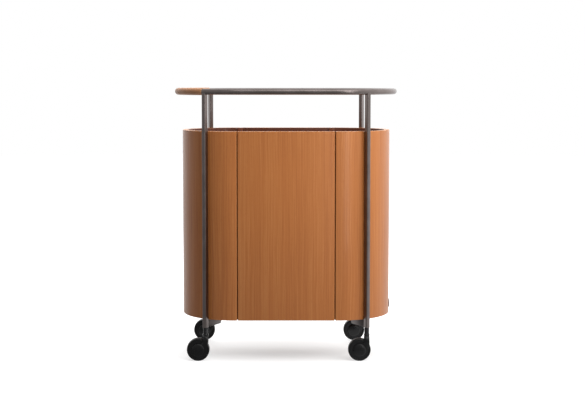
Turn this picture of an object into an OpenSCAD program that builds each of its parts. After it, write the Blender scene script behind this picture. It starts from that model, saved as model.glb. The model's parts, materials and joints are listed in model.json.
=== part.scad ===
// Oval serving trolley.  A veneered tub with round ends, a recessed serving deck
// and a pivoting front door stands on four radial brackets.  The brackets are
// welded to four rectangular posts, which carry a push rail with a leather grip at
// the top and a swivel caster at the bottom.
// Millimetres.  X runs along the trolley, +Y to the back, +Z up.  The origin is
// on the floor under the middle of the rail.

/* [Tub] */
// Overall length of the tub
body_len = 704; // [640:2:800]
// Overall depth of the tub, twice the radius of its round ends
body_depth = 374; // [320:2:400]
// Height of the tub's wall
body_height = 625; // [560:5:700]
// Thickness of the veneered wall
wall = 18; // [15:1:22]
// Easing radius along every edge of the wall
edge_round = 1.5; // [0.5:0.5:2.5]
// Flat strip of each end shell beside the door, before its curve begins
flat_strip = 2.5; // [2.5:0.5:20]
// Gap each side of the door and of the rear panel
panel_gap = 3; // [2.5:0.5:4]

/* [Boards] */
// Thickness of the floor board, the deck and the shelf
board_t = 18; // [12:1:22]
// Depth of the serving deck below the rim
deck_recess = 45; // [30:5:120]
// Height of the room under the shelf
under_shelf_h = 270; // [200:5:330]
// Set-back of the boards behind the door
board_setback = 2.5; // [2:0.5:4]
// Width of stile that laps behind a panel's edge
stile_lap = 13.5; // [8:0.5:20]
// Width of the stiles
stile_w = 38; // [34:1:50]
// Thickness of the stiles
stile_t = 18; // [12:1:22]
// Diameter of the shelf pins
pin_d = 5; // [4:1:8]
// Angle of the shelf pins from the long axis, at each round end
pin_angle = 35; // [20:1:45]

/* [Frame] */
// Height of the top of the rail tube above the floor
rail_top = 900; // [860:5:980]
// Outside diameter of the rail tube
tube_d = 20; // [18:1:25]
// Depth of a post's section, from the tub outwards
post_d = 19; // [16:1:20]
// Width of a post's section, along the rail
post_w = 13; // [12:0.5:16]
// Wall thickness of the post's section
post_wall = 1.5; // [1:0.25:2]
// Radius of the post's corners
post_corner = 2; // [1:0.5:4]
// Air between a post and the tub
post_gap = 4.5; // [3:0.5:12]
// Angle of the posts round the tub's ends, from the long axis
post_angle = 59.5; // [50:0.5:70]
// Thickness of the leather on the grip
leather_t = 1.5; // [1:0.25:3]

/* [Brackets] */
// Height of the bracket's web, from the post's foot to the tub
bracket_h = 25; // [18:1:40]
// Thickness of the web
bracket_t = 5; // [4:0.5:8]
// Reach of the web's lower edge from the post's middle
bracket_len = 88; // [80:1:110]
// Extra reach of the web's upper edge, which slants its tip
bracket_slant = 11; // [0:1:20]
// Thickness of the flange that carries the floor board
flange_t = 3; // [2:0.5:5]
// Width of the flange
flange_w = 40; // [34:1:60]
// Diameter of the flange screws
flange_screw_d = 4; // [3:0.5:5]

/* [Casters] */
// Diameter of the wheel over its tyre
wheel_d = 75; // [65:1:90]
// Width of the tyre
tyre_w = 28; // [20:1:36]
// Thickness of the tyre
tyre_t = 5.5; // [4:0.5:8]
// Distance of the wheel's axle behind the swivel axis
trail = 24.5; // [20:0.5:30]
// Width of the fork's arm
arm_w = 17; // [14:0.5:20]
// Thickness of the fork's cheeks
cheek_t = 4; // [3:0.5:6]
// Diameter of the cheek's disc round the axle
disc_d = 42; // [34:1:46]
// Height at which the arm's outer edge starts to curve, below the crown
shoulder_drop = 9; // [4:0.5:14]
// Diameter of the fork's neck
neck_d = 16; // [14:0.5:19]
// Height of the neck above the crown
neck_h = 22; // [16:1:30]
// Diameter of the swivel stem
stem_d = 8; // [6:0.5:8.5]
// Diameter of the axle
axle_d = 8; // [6:0.5:10]
// Rise of the domed hub cap
cap_rise = 4; // [2:0.5:6]

/* [Door fittings] */
// Distance of the pivot from the door's edge and from its face
pivot_inset = 7; // [6.5:0.5:7.5]
// Diameter of the pivot pin
pivot_d = 4; // [3:0.5:5]
// Thickness of a hinge leaf
leaf_t = 2.5; // [2:0.5:3]
// Length of the door's hinge leaf from the pivot
leaf_len = 36; // [32:1:50]
// Width of the magnetic catch
catch_w = 40; // [30:1:50]
// Thickness of the strike plate
strike_t = 1.5; // [1:0.5:2]

/* [Clearances] */
// Radial clearance of a shaft, pin or screw in its hole
fit = 0.05; // [0.03:0.01:0.08]
// Joint between glued, welded or wrapped surfaces
joint_gap = 0.1; // [0.05:0.05:0.2]
// Air between parts that slide or turn past each other
run_gap = 0.3; // [0.2:0.05:0.5]
// Air between the tyre and the fork's cheek
tyre_gap = 0.8; // [0.6:0.1:1.5]
// Air between the wheel and the fork's crown
crown_gap = 2.3; // [1.5:0.1:5]

/* [Hidden] */
$fn = 96;

// Corners of the trolley as signs of X and Y
FRONT_LEFT = [-1, -1];
FRONT_RIGHT = [1, -1];
REAR_LEFT = [-1, 1];
REAR_RIGHT = [1, 1];
CORNERS = [FRONT_LEFT, FRONT_RIGHT, REAR_LEFT, REAR_RIGHT];

// Colours
VENEER = [0.67, 0.43, 0.26];
VENEER_IN = [0.45, 0.25, 0.17];
METAL = [0.37, 0.33, 0.33];
LEATHER = [0.51, 0.36, 0.26];
PLASTIC = [0.14, 0.14, 0.15];
RUBBER = [0.07, 0.07, 0.08];
STEEL = [0.7, 0.7, 0.72];

// Plan of the tub and the rail
eps = 1;                                        // overrun of a cut past a face
body_r = body_depth / 2;
inner_r = body_r - wall;
end_x = (body_len - body_depth) / 2;            // middle of a round end
door_x = end_x - flat_strip - panel_gap;        // half the width of the door
shell_x = end_x - flat_strip;                   // edge of an end shell
tube_r = tube_d / 2;
min_corner = 0.5;                               // least radius inside a post's section
rail_r = body_r + post_gap + post_d / 2;
post_x = end_x + rail_r * cos(post_angle);
post_y = rail_r * sin(post_angle);

// Caster heights, from the floor up
wheel_r = wheel_d / 2;
tyre_half = tyre_w / 2;
cheek_in = tyre_half + tyre_gap;                // inner face of a cheek
cheek_out = cheek_in + cheek_t;
arm_half = arm_w / 2;
wheel_top_at_arm = wheel_r + sqrt(pow(wheel_r, 2) - pow(trail - arm_half, 2));
crown_z = wheel_top_at_arm + crown_gap - sqrt(pow(cheek_in, 2) - pow(tyre_half, 2));
shoulder_z = crown_z - shoulder_drop;
fork_top = crown_z + cheek_out + neck_h;

// Heights of the frame and the tub
post_bottom = fork_top + run_gap;
body_bottom = post_bottom + bracket_h;
body_top = body_bottom + body_height;
grip_r = tube_r + leather_t;
rail_z = rail_top - tube_r;
floor_top = body_bottom + board_t;
deck_top = body_top - deck_recess;
deck_bottom = deck_top - board_t;
shelf_bottom = floor_top + under_shelf_h;

// Stiles, just inside the wall
stile_x0 = door_x - stile_lap;
stile_back = inner_r - stile_t;
board_front = inner_r - board_setback;          // front edge of boards behind the door
shelf_gap = 2;                                  // air between the shelf and the stiles
shelf_half_depth = stile_back - shelf_gap;

// Caster parts
core_r = wheel_r - tyre_t;
core_step = 1.5;                                // step from the tyre's side to the core's
core_half = tyre_half - core_step;
hub_wall = 5;
hub_r = axle_d / 2 + hub_wall;
hub_half = cheek_in - run_gap;
face_groove = 1.5;                              // width of the groove in the core's face
face_groove_depth = 1;
tread_round = 4;
disc_r = disc_d / 2;
stem_grip = 18;                                 // stem held in the neck
stem_reach = 35;                                // stem standing above the neck
socket_len = 40;
stem_groove = 2;                                // width of the clip's groove
stem_groove_depth = 1;
cap_rim = 1;
cap_step = 0.5;                                 // step from the disc's edge to the cap's

// Edge arcs of the fork's arm.  The outer arc touches the arm's outer edge at
// the shoulder and runs round the disc.  The inner arc touches the arm's inner
// edge at the crown and the disc at its top.
function tangent_r(dx, dz, r, side) = (dx * dx + dz * dz - r * r) / (2 * (dx + side * r));
outer_r = tangent_r(trail + arm_half, shoulder_z - wheel_r, disc_r, -1);
inner_arc_r = tangent_r(trail - arm_half, crown_z - wheel_r, disc_r, 1);
outer_c = [arm_half - outer_r, shoulder_z];
disc_c = [-trail, wheel_r];
disc_dir = (disc_c - outer_c) / norm(disc_c - outer_c);

// Flange and its screws, as [along the web, across it] from the post's middle
flange_setback = 5;                             // from the wall's inner face
flange_from = post_d / 2 + post_gap + wall + flange_setback;
flange_len = bracket_len - flange_from;
flange_corner = 4;
flange_screw_end = 11;                          // from the flange's ends
flange_screw_off = 12;                          // from the web's middle
flange_screws = [
    [flange_from + flange_screw_end, flange_screw_off],
    [bracket_len - flange_screw_end, -flange_screw_off]
];
screw_head_h = 2;
flange_screw_bite = 12;                         // length held in the floor board
flange_screw_len = flange_t + flange_screw_bite;

// Door pivot and hinge leaves, at the left edge of the door
door_over = 5;                                  // degrees that the door opens past square
pivot = [pivot_inset - door_x, pivot_inset - body_r];
leaf_eye = 2;                                   // metal round the pin
leaf_half = pivot_d / 2 + leaf_eye;
leaf_air = 0.2;                                 // between the stacked leaves
leaf_seat = 0.05;                               // between the tub's leaf and its board
tub_leaf_z = floor_top + leaf_seat;
door_leaf_z = tub_leaf_z + leaf_t + leaf_air;
tub_plate_inset = 1;                            // from the boards' front edge
tub_plate_y = -board_front + tub_plate_inset;
tub_plate_w = 32;
tub_plate_tail = 13;                            // reach behind the stile
tub_plate_d = -stile_back + tub_plate_tail - tub_plate_y;
tub_plate_side = 8;                             // reach beside the pivot
tub_plate_x = pivot.x - tub_plate_side;
door_flange_w = 25;
door_flange_h = 30;
door_flange_x = pivot.x + leaf_len - door_flange_w;
hinge_screw_d = 3;
hinge_screw_bite = 11;                          // length held in the wood
hinge_head_h = 1.2;
tub_screw_edge = 6;                             // from the plate's sides
tub_screw_end = 5;                              // from the plate's back
tub_screw_y = tub_plate_y + tub_plate_d - tub_screw_end;
tub_screws = [for (x = [tub_plate_x + tub_screw_edge, tub_plate_x + tub_plate_w - tub_screw_edge]) [x, tub_screw_y]];
door_screw_pitch = 12;
door_screw_end = 7;                             // from the flange's top
door_screw_top = door_leaf_z + door_flange_h - door_screw_end;
door_screw_heights = [door_screw_top - door_screw_pitch, door_screw_top];
door_screw_x = door_flange_x + door_flange_w / 2;

// Catch, beside the right stile
catch_h = 12;
catch_depth = 14;
catch_stile_gap = 4;
catch_x = stile_x0 - catch_stile_gap - catch_w;
catch_front = inner_r - strike_t - run_gap;
pole_slot = 4;                                  // height of the slot between the poles
pole_slot_depth = 1;
pole_slot_end = 6;                              // from the slot to the catch's ends
strike_margin = 5;
strike_drop = 1;                                // overhang below the catch

// Shelf pins
pin_r = pin_d / 2;
pin_in = wall / 2;
pin_out = 8;
shelf_air = 1.5;                                // round the shelf's ends
pin_seat = 0.2;                                 // under the shelf
pin_z = shelf_bottom - pin_r - pin_seat;

// ---------------------------------------------------------------- helpers

// Rectangle from the origin with its corners rounded to r
module rounded_rect(w, h, r) {
    translate([r, 0]) square([w - 2 * r, h]);
    translate([0, r]) square([w, h - 2 * r]);
    for (x = [r, w - r], y = [r, h - r]) translate([x, y]) circle(r = r);
}

// Stadium about the origin whose ends are arcs of radius r
module stadium(r) {
    for (x = [-end_x, end_x]) translate([x, 0]) circle(r = r);
    translate([-end_x, -r]) square([2 * end_x, 2 * r]);
}

// Stands its children at a corner's post
module at_post(c) {
    translate([c.x * post_x, c.y * post_y, 0]) children();
}

// Section of a post, drawn in from its outside by the inset
module post_section(inset) {
    depth = post_d - 2 * inset;
    width = post_w - 2 * inset;
    translate([-depth / 2, -width / 2]) rounded_rect(depth, width, max(post_corner - inset, min_corner));
}

// Stands its children at a corner's post, with +X towards the round end's middle
module along_bracket(c) {
    at_post(c) rotate([0, 0, atan2(-c.y * sin(post_angle), -c.x * cos(post_angle))]) children();
}

// Puts its children on a corner's wheel axis, with +Z along the axle
module at_axle(c) {
    at_post(c) translate([-trail, 0, wheel_r]) rotate([90, 0, 0]) children();
}

// Puts its children on a corner's shelf pin, with +Z outwards from the wall's face
module at_shelf_pin(c) {
    translate([c.x * end_x, 0, pin_z])
        rotate([0, 0, atan2(c.y * sin(pin_angle), c.x * cos(pin_angle))])
            translate([inner_r, 0, 0]) rotate([0, 90, 0]) children();
}

// Mirrors the lower hinge's parts to the upper hinge
module to_upper_hinge() {
    translate([0, 0, floor_top + deck_bottom]) mirror([0, 0, 1]) children();
}

// Solid of the whole rail: two half rings and two straight runs
module rail_envelope(r) {
    for (side = [0, 180]) rotate([0, 0, side]) {
        translate([end_x, 0, rail_z]) rotate([0, 0, -90])
            rotate_extrude(angle = 180) translate([rail_r, 0]) circle(r = r);
        translate([-end_x, rail_r, rail_z]) rotate([0, 90, 0]) cylinder(h = 2 * end_x, r = r);
    }
}

// Pan-head screw: head below the origin's plane, shank above it
module screw(shank_d, shank_len, head_h) {
    translate([0, 0, -head_h]) cylinder(h = head_h, d = 2 * shank_d);
    cylinder(h = shank_len, d = shank_d);
}

// ---------------------------------------------------------------- frame

module rail_tube() {
    color(METAL) rail_envelope(tube_r);
}

// Leather sleeve round the left end of the rail, from post to post
module grip_wrap() {
    half_angle = post_angle - asin((post_w / 2 + run_gap) / rail_r);
    color(LEATHER) translate([-end_x, 0, rail_z]) rotate([0, 0, 180 - half_angle])
        rotate_extrude(angle = 2 * half_angle) translate([rail_r, 0]) difference() {
            circle(r = grip_r);
            circle(r = tube_r + joint_gap);
        }
}

// Rectangular tube, saddle-cut to sit under the rail
module post(c) {
    color(METAL) difference() {
        along_bracket(c) translate([0, 0, post_bottom]) linear_extrude(rail_z - post_bottom) difference() {
            post_section(0);
            post_section(post_wall);
        }
        rail_envelope(tube_r + joint_gap);
    }
}

// Radial web under the tub, with the flange that the floor board is screwed to
module bracket(c) {
    web_from = post_d / 2 + joint_gap;
    color(METAL) along_bracket(c) difference() {
        union() {
            translate([0, bracket_t / 2, 0]) rotate([90, 0, 0]) linear_extrude(bracket_t)
                polygon([
                    [web_from, post_bottom],
                    [bracket_len, post_bottom],
                    [bracket_len + bracket_slant, body_bottom],
                    [web_from, body_bottom]
                ]);
            translate([flange_from, -flange_w / 2, body_bottom - flange_t])
                linear_extrude(flange_t) rounded_rect(flange_len, flange_w, flange_corner);
        }
        flange_holes();
    }
}

// Holes for a bracket's screws, right through the flange and into the board
module flange_holes() {
    for (p = flange_screws)
        translate([p.x, p.y, body_bottom - flange_t - eps])
            cylinder(h = flange_screw_len + 2 * eps, d = flange_screw_d + 2 * fit);
}

module bracket_screws() {
    color(STEEL) for (c = CORNERS) along_bracket(c) for (p = flange_screws)
        translate([p.x, p.y, body_bottom - flange_t]) screw(flange_screw_d, flange_screw_len, screw_head_h);
}

// ---------------------------------------------------------------- tub

// Section of the wall, with its edges eased
module wall_section() {
    rounded_rect(wall, body_height, edge_round);
}

// Flat panel of the wall from x0, w long, with all its edges eased
module flat_panel(x0, w) {
    translate([x0, -body_r, body_bottom]) intersection() {
        rotate([90, 0, 90]) linear_extrude(w) wall_section();
        linear_extrude(body_height) rounded_rect(w, wall, edge_round);
    }
}

// Half ring with a flat strip at each end, closing the right end of the tub
module end_shell() {
    translate([end_x, 0, body_bottom]) rotate([0, 0, -90])
        rotate_extrude(angle = 180) translate([inner_r, 0]) wall_section();
    for (back = [0, 1]) mirror([0, back, 0]) intersection() {
        flat_panel(shell_x, wall + flat_strip);
        translate([shell_x - eps, -body_r - eps, body_bottom - eps])
            cube([flat_strip + eps, wall + 2 * eps, body_height + 2 * eps]);
    }
}

module shell(side) {
    color(VENEER) difference() {
        mirror([(1 - side) / 2, 0, 0]) end_shell();
        for (y = [-1, 1]) at_shelf_pin([side, y])
            translate([0, 0, -eps]) cylinder(h = pin_in + 2 * eps, d = pin_d + 2 * fit);
    }
}

module rear_panel() {
    color(VENEER) mirror([0, 1, 0]) flat_panel(-door_x, 2 * door_x);
}

// Front door, with pockets for the two knife hinges and holes for their screws
module door() {
    color(VENEER) difference() {
        flat_panel(-door_x, 2 * door_x);
        hinge_pocket();
        to_upper_hinge() hinge_pocket();
    }
}

// Room for the lower hinge: a slot for the door's leaf, and a corner cut away
// that clears the tub's leaf until the door is open past square
module hinge_pocket() {
    slot = leaf_half + run_gap + pivot_inset * sin(door_over);
    reach = pivot.x + leaf_len + run_gap + door_x + eps;
    translate([-door_x - eps, pivot.y - slot, door_leaf_z - leaf_air])
        cube([reach, wall, leaf_t + 2 * leaf_air]);
    translate([-door_x - eps, pivot.y - slot, tub_leaf_z - run_gap])
        cube([pivot_inset + eps + slot, wall, 2 * leaf_t + 2 * run_gap]);
    for (z = door_screw_heights) translate([door_screw_x, eps - inner_r, z])
        rotate([90, 0, 0]) cylinder(h = hinge_screw_bite + 2 * eps, d = hinge_screw_d + 2 * fit);
}

// Outline of the boards that are glued into the tub, cut back behind the door
module board_outline() {
    difference() {
        stadium(inner_r - joint_gap);
        translate([-shell_x, -inner_r - eps]) square([2 * shell_x, board_setback + eps]);
    }
}

module floor_board() {
    color(VENEER_IN) difference() {
        translate([0, 0, body_bottom]) linear_extrude(board_t) board_outline();
        for (c = CORNERS) along_bracket(c) flange_holes();
        tub_screw_holes();
    }
}

module deck() {
    color(VENEER_IN) difference() {
        translate([0, 0, deck_bottom]) linear_extrude(board_t) board_outline();
        to_upper_hinge() tub_screw_holes();
    }
}

module shelf() {
    color(VENEER_IN) translate([0, 0, shelf_bottom]) linear_extrude(board_t) intersection() {
        stadium(inner_r - shelf_air);
        translate([-body_len / 2, -shelf_half_depth]) square([body_len, 2 * shelf_half_depth]);
    }
}

module shelf_pins() {
    color(STEEL) for (c = CORNERS) at_shelf_pin(c)
        translate([0, 0, -pin_out]) cylinder(h = pin_out + pin_in, d = pin_d);
}

// Upright inside the wall that closes a panel's gap, between floor and deck.
// A front one is rebated so that the door's edge swings clear of it.
module stile(c) {
    front = c.y < 0;
    color(VENEER_IN) difference() {
        mirror([(1 - c.x) / 2, 0, 0]) mirror([0, (1 + c.y) / 2, 0])
            translate([0, 0, floor_top]) linear_extrude(deck_bottom - floor_top) difference() {
                intersection() {
                    stadium(inner_r - joint_gap);
                    translate([stile_x0, -inner_r]) square([stile_w, stile_t]);
                }
                if (front) translate([stile_x0 - eps, -inner_r - eps])
                    square([shell_x - stile_x0 + eps, board_setback + eps]);
            }
        if (c == FRONT_LEFT) {
            tub_leaf_room();
            to_upper_hinge() tub_leaf_room();
        }
    }
}

// ---------------------------------------------------------------- door fittings

// Plan of the tub's leaf: a tongue to the pivot and a plate behind the stile
module tub_leaf_plan() {
    translate(pivot) circle(r = leaf_half);
    translate([pivot.x - leaf_half, pivot.y])
        square([2 * leaf_half, tub_plate_y - pivot.y + eps]);
    translate([tub_plate_x, tub_plate_y]) square([tub_plate_w, tub_plate_d]);
}

// Notch in the stile over the tub's leaf
module tub_leaf_room() {
    translate([0, 0, tub_leaf_z - eps]) linear_extrude(leaf_t + eps) {
        translate([tub_plate_x - run_gap, -inner_r]) square([tub_plate_w + run_gap, stile_t + eps]);
    }
}

module tub_screw_holes() {
    for (p = tub_screws) translate([p.x, p.y, tub_leaf_z - hinge_screw_bite - eps])
        cylinder(h = hinge_screw_bite + 2 * eps + leaf_t, d = hinge_screw_d + 2 * fit);
}

module tub_leaf() {
    difference() {
        translate([0, 0, tub_leaf_z]) linear_extrude(leaf_t) tub_leaf_plan();
        pivot_hole();
        tub_screw_holes();
    }
}

// Cranked leaf: a tongue in the door's slot and a flange on its inner face
module door_leaf() {
    difference() {
        union() {
            translate([0, 0, door_leaf_z]) linear_extrude(leaf_t) {
                translate(pivot) circle(r = leaf_half);
                translate([pivot.x, pivot.y - leaf_half])
                    square([leaf_len, leaf_half - pivot.y - inner_r]);
            }
            translate([door_flange_x, -inner_r - eps, door_leaf_z])
                cube([door_flange_w, leaf_t + eps, leaf_t]);
            translate([door_flange_x, -inner_r, door_leaf_z])
                cube([door_flange_w, leaf_t, door_flange_h]);
        }
        pivot_hole();
        for (z = door_screw_heights) translate([door_screw_x, leaf_t + eps - inner_r, z])
            rotate([90, 0, 0]) cylinder(h = leaf_t + 2 * eps, d = hinge_screw_d + 2 * fit);
    }
}

module pivot_hole() {
    translate([pivot.x, pivot.y, tub_leaf_z - eps])
        cylinder(h = 2 * (leaf_t + eps) + leaf_air, d = pivot_d + 2 * fit);
}

module pivot_pin() {
    translate([pivot.x, pivot.y, tub_leaf_z + leaf_air])
        cylinder(h = 2 * leaf_t - leaf_air, d = pivot_d);
}

module door_leaf_screws() {
    for (z = door_screw_heights) translate([door_screw_x, leaf_t - inner_r, z]) rotate([90, 0, 0])
        screw(hinge_screw_d, leaf_t + hinge_screw_bite, hinge_head_h);
}

module tub_leaf_screws() {
    for (p = tub_screws) translate([p.x, p.y, tub_leaf_z + leaf_t]) rotate([180, 0, 0])
        screw(hinge_screw_d, leaf_t + hinge_screw_bite, hinge_head_h);
}

module hinge_leaf_tub_lower() {
    color(STEEL) tub_leaf();
}

module hinge_leaf_tub_upper() {
    color(STEEL) to_upper_hinge() tub_leaf();
}

module hinge_leaf_door_lower() {
    color(STEEL) door_leaf();
}

module hinge_leaf_door_upper() {
    color(STEEL) to_upper_hinge() door_leaf();
}

module hinge_pins() {
    color(STEEL) {
        pivot_pin();
        to_upper_hinge() pivot_pin();
    }
}

module hinge_screws_tub() {
    color(STEEL) {
        tub_leaf_screws();
        to_upper_hinge() tub_leaf_screws();
    }
}

module hinge_screws_door() {
    color(STEEL) {
        door_leaf_screws();
        to_upper_hinge() door_leaf_screws();
    }
}

// Magnetic catch under the deck, with a slot between its two poles
module magnetic_catch() {
    color(PLASTIC) difference() {
        translate([catch_x, -catch_front, deck_bottom - catch_h]) cube([catch_w, catch_depth, catch_h]);
        translate([catch_x + pole_slot_end, -catch_front - eps, deck_bottom - (catch_h + pole_slot) / 2])
            cube([catch_w - 2 * pole_slot_end, pole_slot_depth + eps, pole_slot]);
    }
}

module strike_plate() {
    color(STEEL) translate([catch_x + strike_margin, -inner_r, deck_bottom - catch_h - strike_drop])
        cube([catch_w - 2 * strike_margin, strike_t, catch_h]);
}

// ---------------------------------------------------------------- casters

// Plug in the foot of a post, which the stem turns in
module socket(c) {
    color(PLASTIC) along_bracket(c) translate([0, 0, post_bottom]) linear_extrude(socket_len) difference() {
        post_section(post_wall + fit);
        circle(d = stem_d + 2 * fit);
    }
}

// Steel stem, with a groove near its top for the retaining clip
module stem(c) {
    color(STEEL) at_post(c) translate([0, 0, fork_top - stem_grip]) {
        length = stem_grip + stem_reach;
        groove_z = length - 3 * stem_groove;
        difference() {
            cylinder(h = length, d = stem_d);
            translate([0, 0, groove_z]) difference() {
                cylinder(h = stem_groove, d = stem_d + eps);
                translate([0, 0, -eps]) cylinder(h = stem_groove + 2 * eps, d = stem_d - 2 * stem_groove_depth);
            }
        }
    }
}

// Side view of a cheek: a disc round the axle and an arm that sweeps into it
module cheek_outline() {
    sweep = 2 * disc_r * disc_dir;
    translate(disc_c) circle(r = disc_r);
    difference() {
        union() {
            translate([-arm_half, shoulder_z]) square([arm_w, shoulder_drop]);
            intersection() {
                translate(outer_c) circle(r = outer_r);
                polygon([
                    disc_c,
                    disc_c + sweep,
                    [arm_w, disc_c.y + sweep.y],
                    [arm_w, shoulder_z],
                    [disc_c.x, shoulder_z]
                ]);
            }
            translate([disc_c.x, wheel_r]) square([trail, shoulder_z - wheel_r]);
        }
        translate([-arm_half - inner_arc_r, crown_z]) circle(r = inner_arc_r);
        translate([disc_c.x - disc_r, shoulder_z]) square([trail + disc_r - arm_half - inner_arc_r, shoulder_drop]);
    }
}

// Fork: neck, arched crown and two cheeks
module fork(c) {
    color(PLASTIC) at_post(c) difference() {
        union() {
            for (side = [-1, 1])
                translate([0, side * (cheek_in + cheek_t / 2), 0]) rotate([90, 0, 0])
                    linear_extrude(cheek_t, center = true) cheek_outline();
            translate([-arm_half, 0, crown_z]) rotate([90, 0, 90]) linear_extrude(arm_w) difference() {
                circle(r = cheek_out);
                circle(r = cheek_in);
                translate([-2 * cheek_out, -2 * cheek_out]) square([4 * cheek_out, 2 * cheek_out]);
            }
            translate([0, 0, crown_z + cheek_in + cheek_t / 2]) cylinder(h = neck_h + cheek_t / 2, d = neck_d);
        }
        translate([0, 0, fork_top - stem_grip]) cylinder(h = stem_grip + eps, d = stem_d + 2 * fit);
        translate([-trail, 0, wheel_r]) rotate([90, 0, 0])
            cylinder(h = 2 * (cheek_out + eps), d = axle_d + 2 * fit, center = true);
    }
}

module axle(c) {
    color(STEEL) at_axle(c) cylinder(h = 2 * cheek_out - 2 * run_gap, d = axle_d, center = true);
}

// Shallow domes on the outer faces of the cheeks
module hub_caps(c) {
    rise = cap_rise - cap_rim;
    rim_r = disc_r - cap_step;
    dome_r = (rim_r * rim_r + rise * rise) / (2 * rise);
    color(PLASTIC) for (side = [0, 1]) at_axle(c) mirror([0, 0, side])
        translate([0, 0, cheek_out]) rotate_extrude() {
            square([rim_r, cap_rim]);
            intersection() {
                translate([0, cap_rise - dome_r]) circle(r = dome_r, $fn = 720);
                translate([0, cap_rim]) square([rim_r, cap_rise]);
            }
        }
}

// Wheel core: hub, disc and rim, with a groove in each face under the tyre
module wheel(c) {
    bore_r = axle_d / 2 + fit;
    color(PLASTIC) at_axle(c) rotate_extrude() difference() {
        union() {
            translate([bore_r, -hub_half]) square([hub_r - bore_r, 2 * hub_half]);
            translate([bore_r, -core_half]) square([core_r - bore_r, 2 * core_half]);
        }
        for (y = [-core_half - eps, core_half - face_groove_depth])
            translate([core_r - 2 * face_groove, y]) square([face_groove, face_groove_depth + eps]);
    }
}

module tyre(c) {
    inner = core_r + joint_gap;
    color(RUBBER) at_axle(c) rotate_extrude() {
        translate([inner, -tyre_half]) square([wheel_r - tread_round - inner, tyre_w]);
        translate([inner, tread_round - tyre_half]) square([wheel_r - inner, tyre_w - 2 * tread_round]);
        for (y = [tread_round - tyre_half, tyre_half - tread_round])
            intersection() {
                translate([wheel_r - tread_round, y]) circle(r = tread_round);
                translate([inner, -tyre_half]) square([tyre_t, tyre_w]);
            }
    }
}

// ---------------------------------------------------------------- nodes

rail_tube();
grip_wrap();
post(FRONT_LEFT);  // post_front_left
post(FRONT_RIGHT);  // post_front_right
post(REAR_LEFT);  // post_rear_left
post(REAR_RIGHT);  // post_rear_right
bracket(FRONT_LEFT);  // bracket_front_left
bracket(FRONT_RIGHT);  // bracket_front_right
bracket(REAR_LEFT);  // bracket_rear_left
bracket(REAR_RIGHT);  // bracket_rear_right
bracket_screws();
shell(-1);  // shell_left
shell(1);  // shell_right
rear_panel();
door();
floor_board();
deck();
shelf();
shelf_pins();
stile(FRONT_LEFT);  // stile_front_left
stile(FRONT_RIGHT);  // stile_front_right
stile(REAR_LEFT);  // stile_rear_left
stile(REAR_RIGHT);  // stile_rear_right
hinge_leaf_tub_lower();
hinge_leaf_tub_upper();
hinge_leaf_door_lower();
hinge_leaf_door_upper();
hinge_pins();
hinge_screws_tub();
hinge_screws_door();
magnetic_catch();
strike_plate();
socket(FRONT_LEFT);  // socket_front_left
socket(FRONT_RIGHT);  // socket_front_right
socket(REAR_LEFT);  // socket_rear_left
socket(REAR_RIGHT);  // socket_rear_right
stem(FRONT_LEFT);  // stem_front_left
stem(FRONT_RIGHT);  // stem_front_right
stem(REAR_LEFT);  // stem_rear_left
stem(REAR_RIGHT);  // stem_rear_right
fork(FRONT_LEFT);  // fork_front_left
fork(FRONT_RIGHT);  // fork_front_right
fork(REAR_LEFT);  // fork_rear_left
fork(REAR_RIGHT);  // fork_rear_right
axle(FRONT_LEFT);  // axle_front_left
axle(FRONT_RIGHT);  // axle_front_right
axle(REAR_LEFT);  // axle_rear_left
axle(REAR_RIGHT);  // axle_rear_right
hub_caps(FRONT_LEFT);  // hub_caps_front_left
hub_caps(FRONT_RIGHT);  // hub_caps_front_right
hub_caps(REAR_LEFT);  // hub_caps_rear_left
hub_caps(REAR_RIGHT);  // hub_caps_rear_right
wheel(FRONT_LEFT);  // wheel_front_left
wheel(FRONT_RIGHT);  // wheel_front_right
wheel(REAR_LEFT);  // wheel_rear_left
wheel(REAR_RIGHT);  // wheel_rear_right
tyre(FRONT_LEFT);  // tyre_front_left
tyre(FRONT_RIGHT);  // tyre_front_right
tyre(REAR_LEFT);  // tyre_rear_left
tyre(REAR_RIGHT);  // tyre_rear_right
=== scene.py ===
"""Dressed model of an oval cheese trolley: veneered tub, push rail, leather grip and four swivel casters."""

import json
import logging
import math
from contextlib import contextmanager
from dataclasses import dataclass
from enum import Enum
from typing import Any, Callable, Iterator, Sequence

import bmesh
import bpy
from mathutils import Matrix, Vector


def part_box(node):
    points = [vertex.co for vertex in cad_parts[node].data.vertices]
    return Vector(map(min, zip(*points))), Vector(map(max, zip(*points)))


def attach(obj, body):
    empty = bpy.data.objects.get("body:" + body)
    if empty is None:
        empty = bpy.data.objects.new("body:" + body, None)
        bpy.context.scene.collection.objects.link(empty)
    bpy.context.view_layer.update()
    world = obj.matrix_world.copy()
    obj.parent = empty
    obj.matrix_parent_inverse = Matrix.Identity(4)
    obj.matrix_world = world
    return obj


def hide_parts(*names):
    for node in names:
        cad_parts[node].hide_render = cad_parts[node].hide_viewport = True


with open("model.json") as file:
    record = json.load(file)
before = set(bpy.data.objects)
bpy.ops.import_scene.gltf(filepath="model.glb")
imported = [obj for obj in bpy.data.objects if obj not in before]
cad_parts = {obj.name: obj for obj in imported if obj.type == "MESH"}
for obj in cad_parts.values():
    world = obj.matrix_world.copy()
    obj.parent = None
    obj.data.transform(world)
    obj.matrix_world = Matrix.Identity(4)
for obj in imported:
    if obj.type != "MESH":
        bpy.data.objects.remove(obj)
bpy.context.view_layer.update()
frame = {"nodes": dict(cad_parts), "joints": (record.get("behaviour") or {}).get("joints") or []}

log = logging.getLogger("cheese_trolley")
MM = 0.001
Object = bpy.types.Object
Point = Sequence[float]


class Part(Enum):
    """What a selection is made of."""

    EDGE = "edges"
    FACE = "faces"


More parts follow.
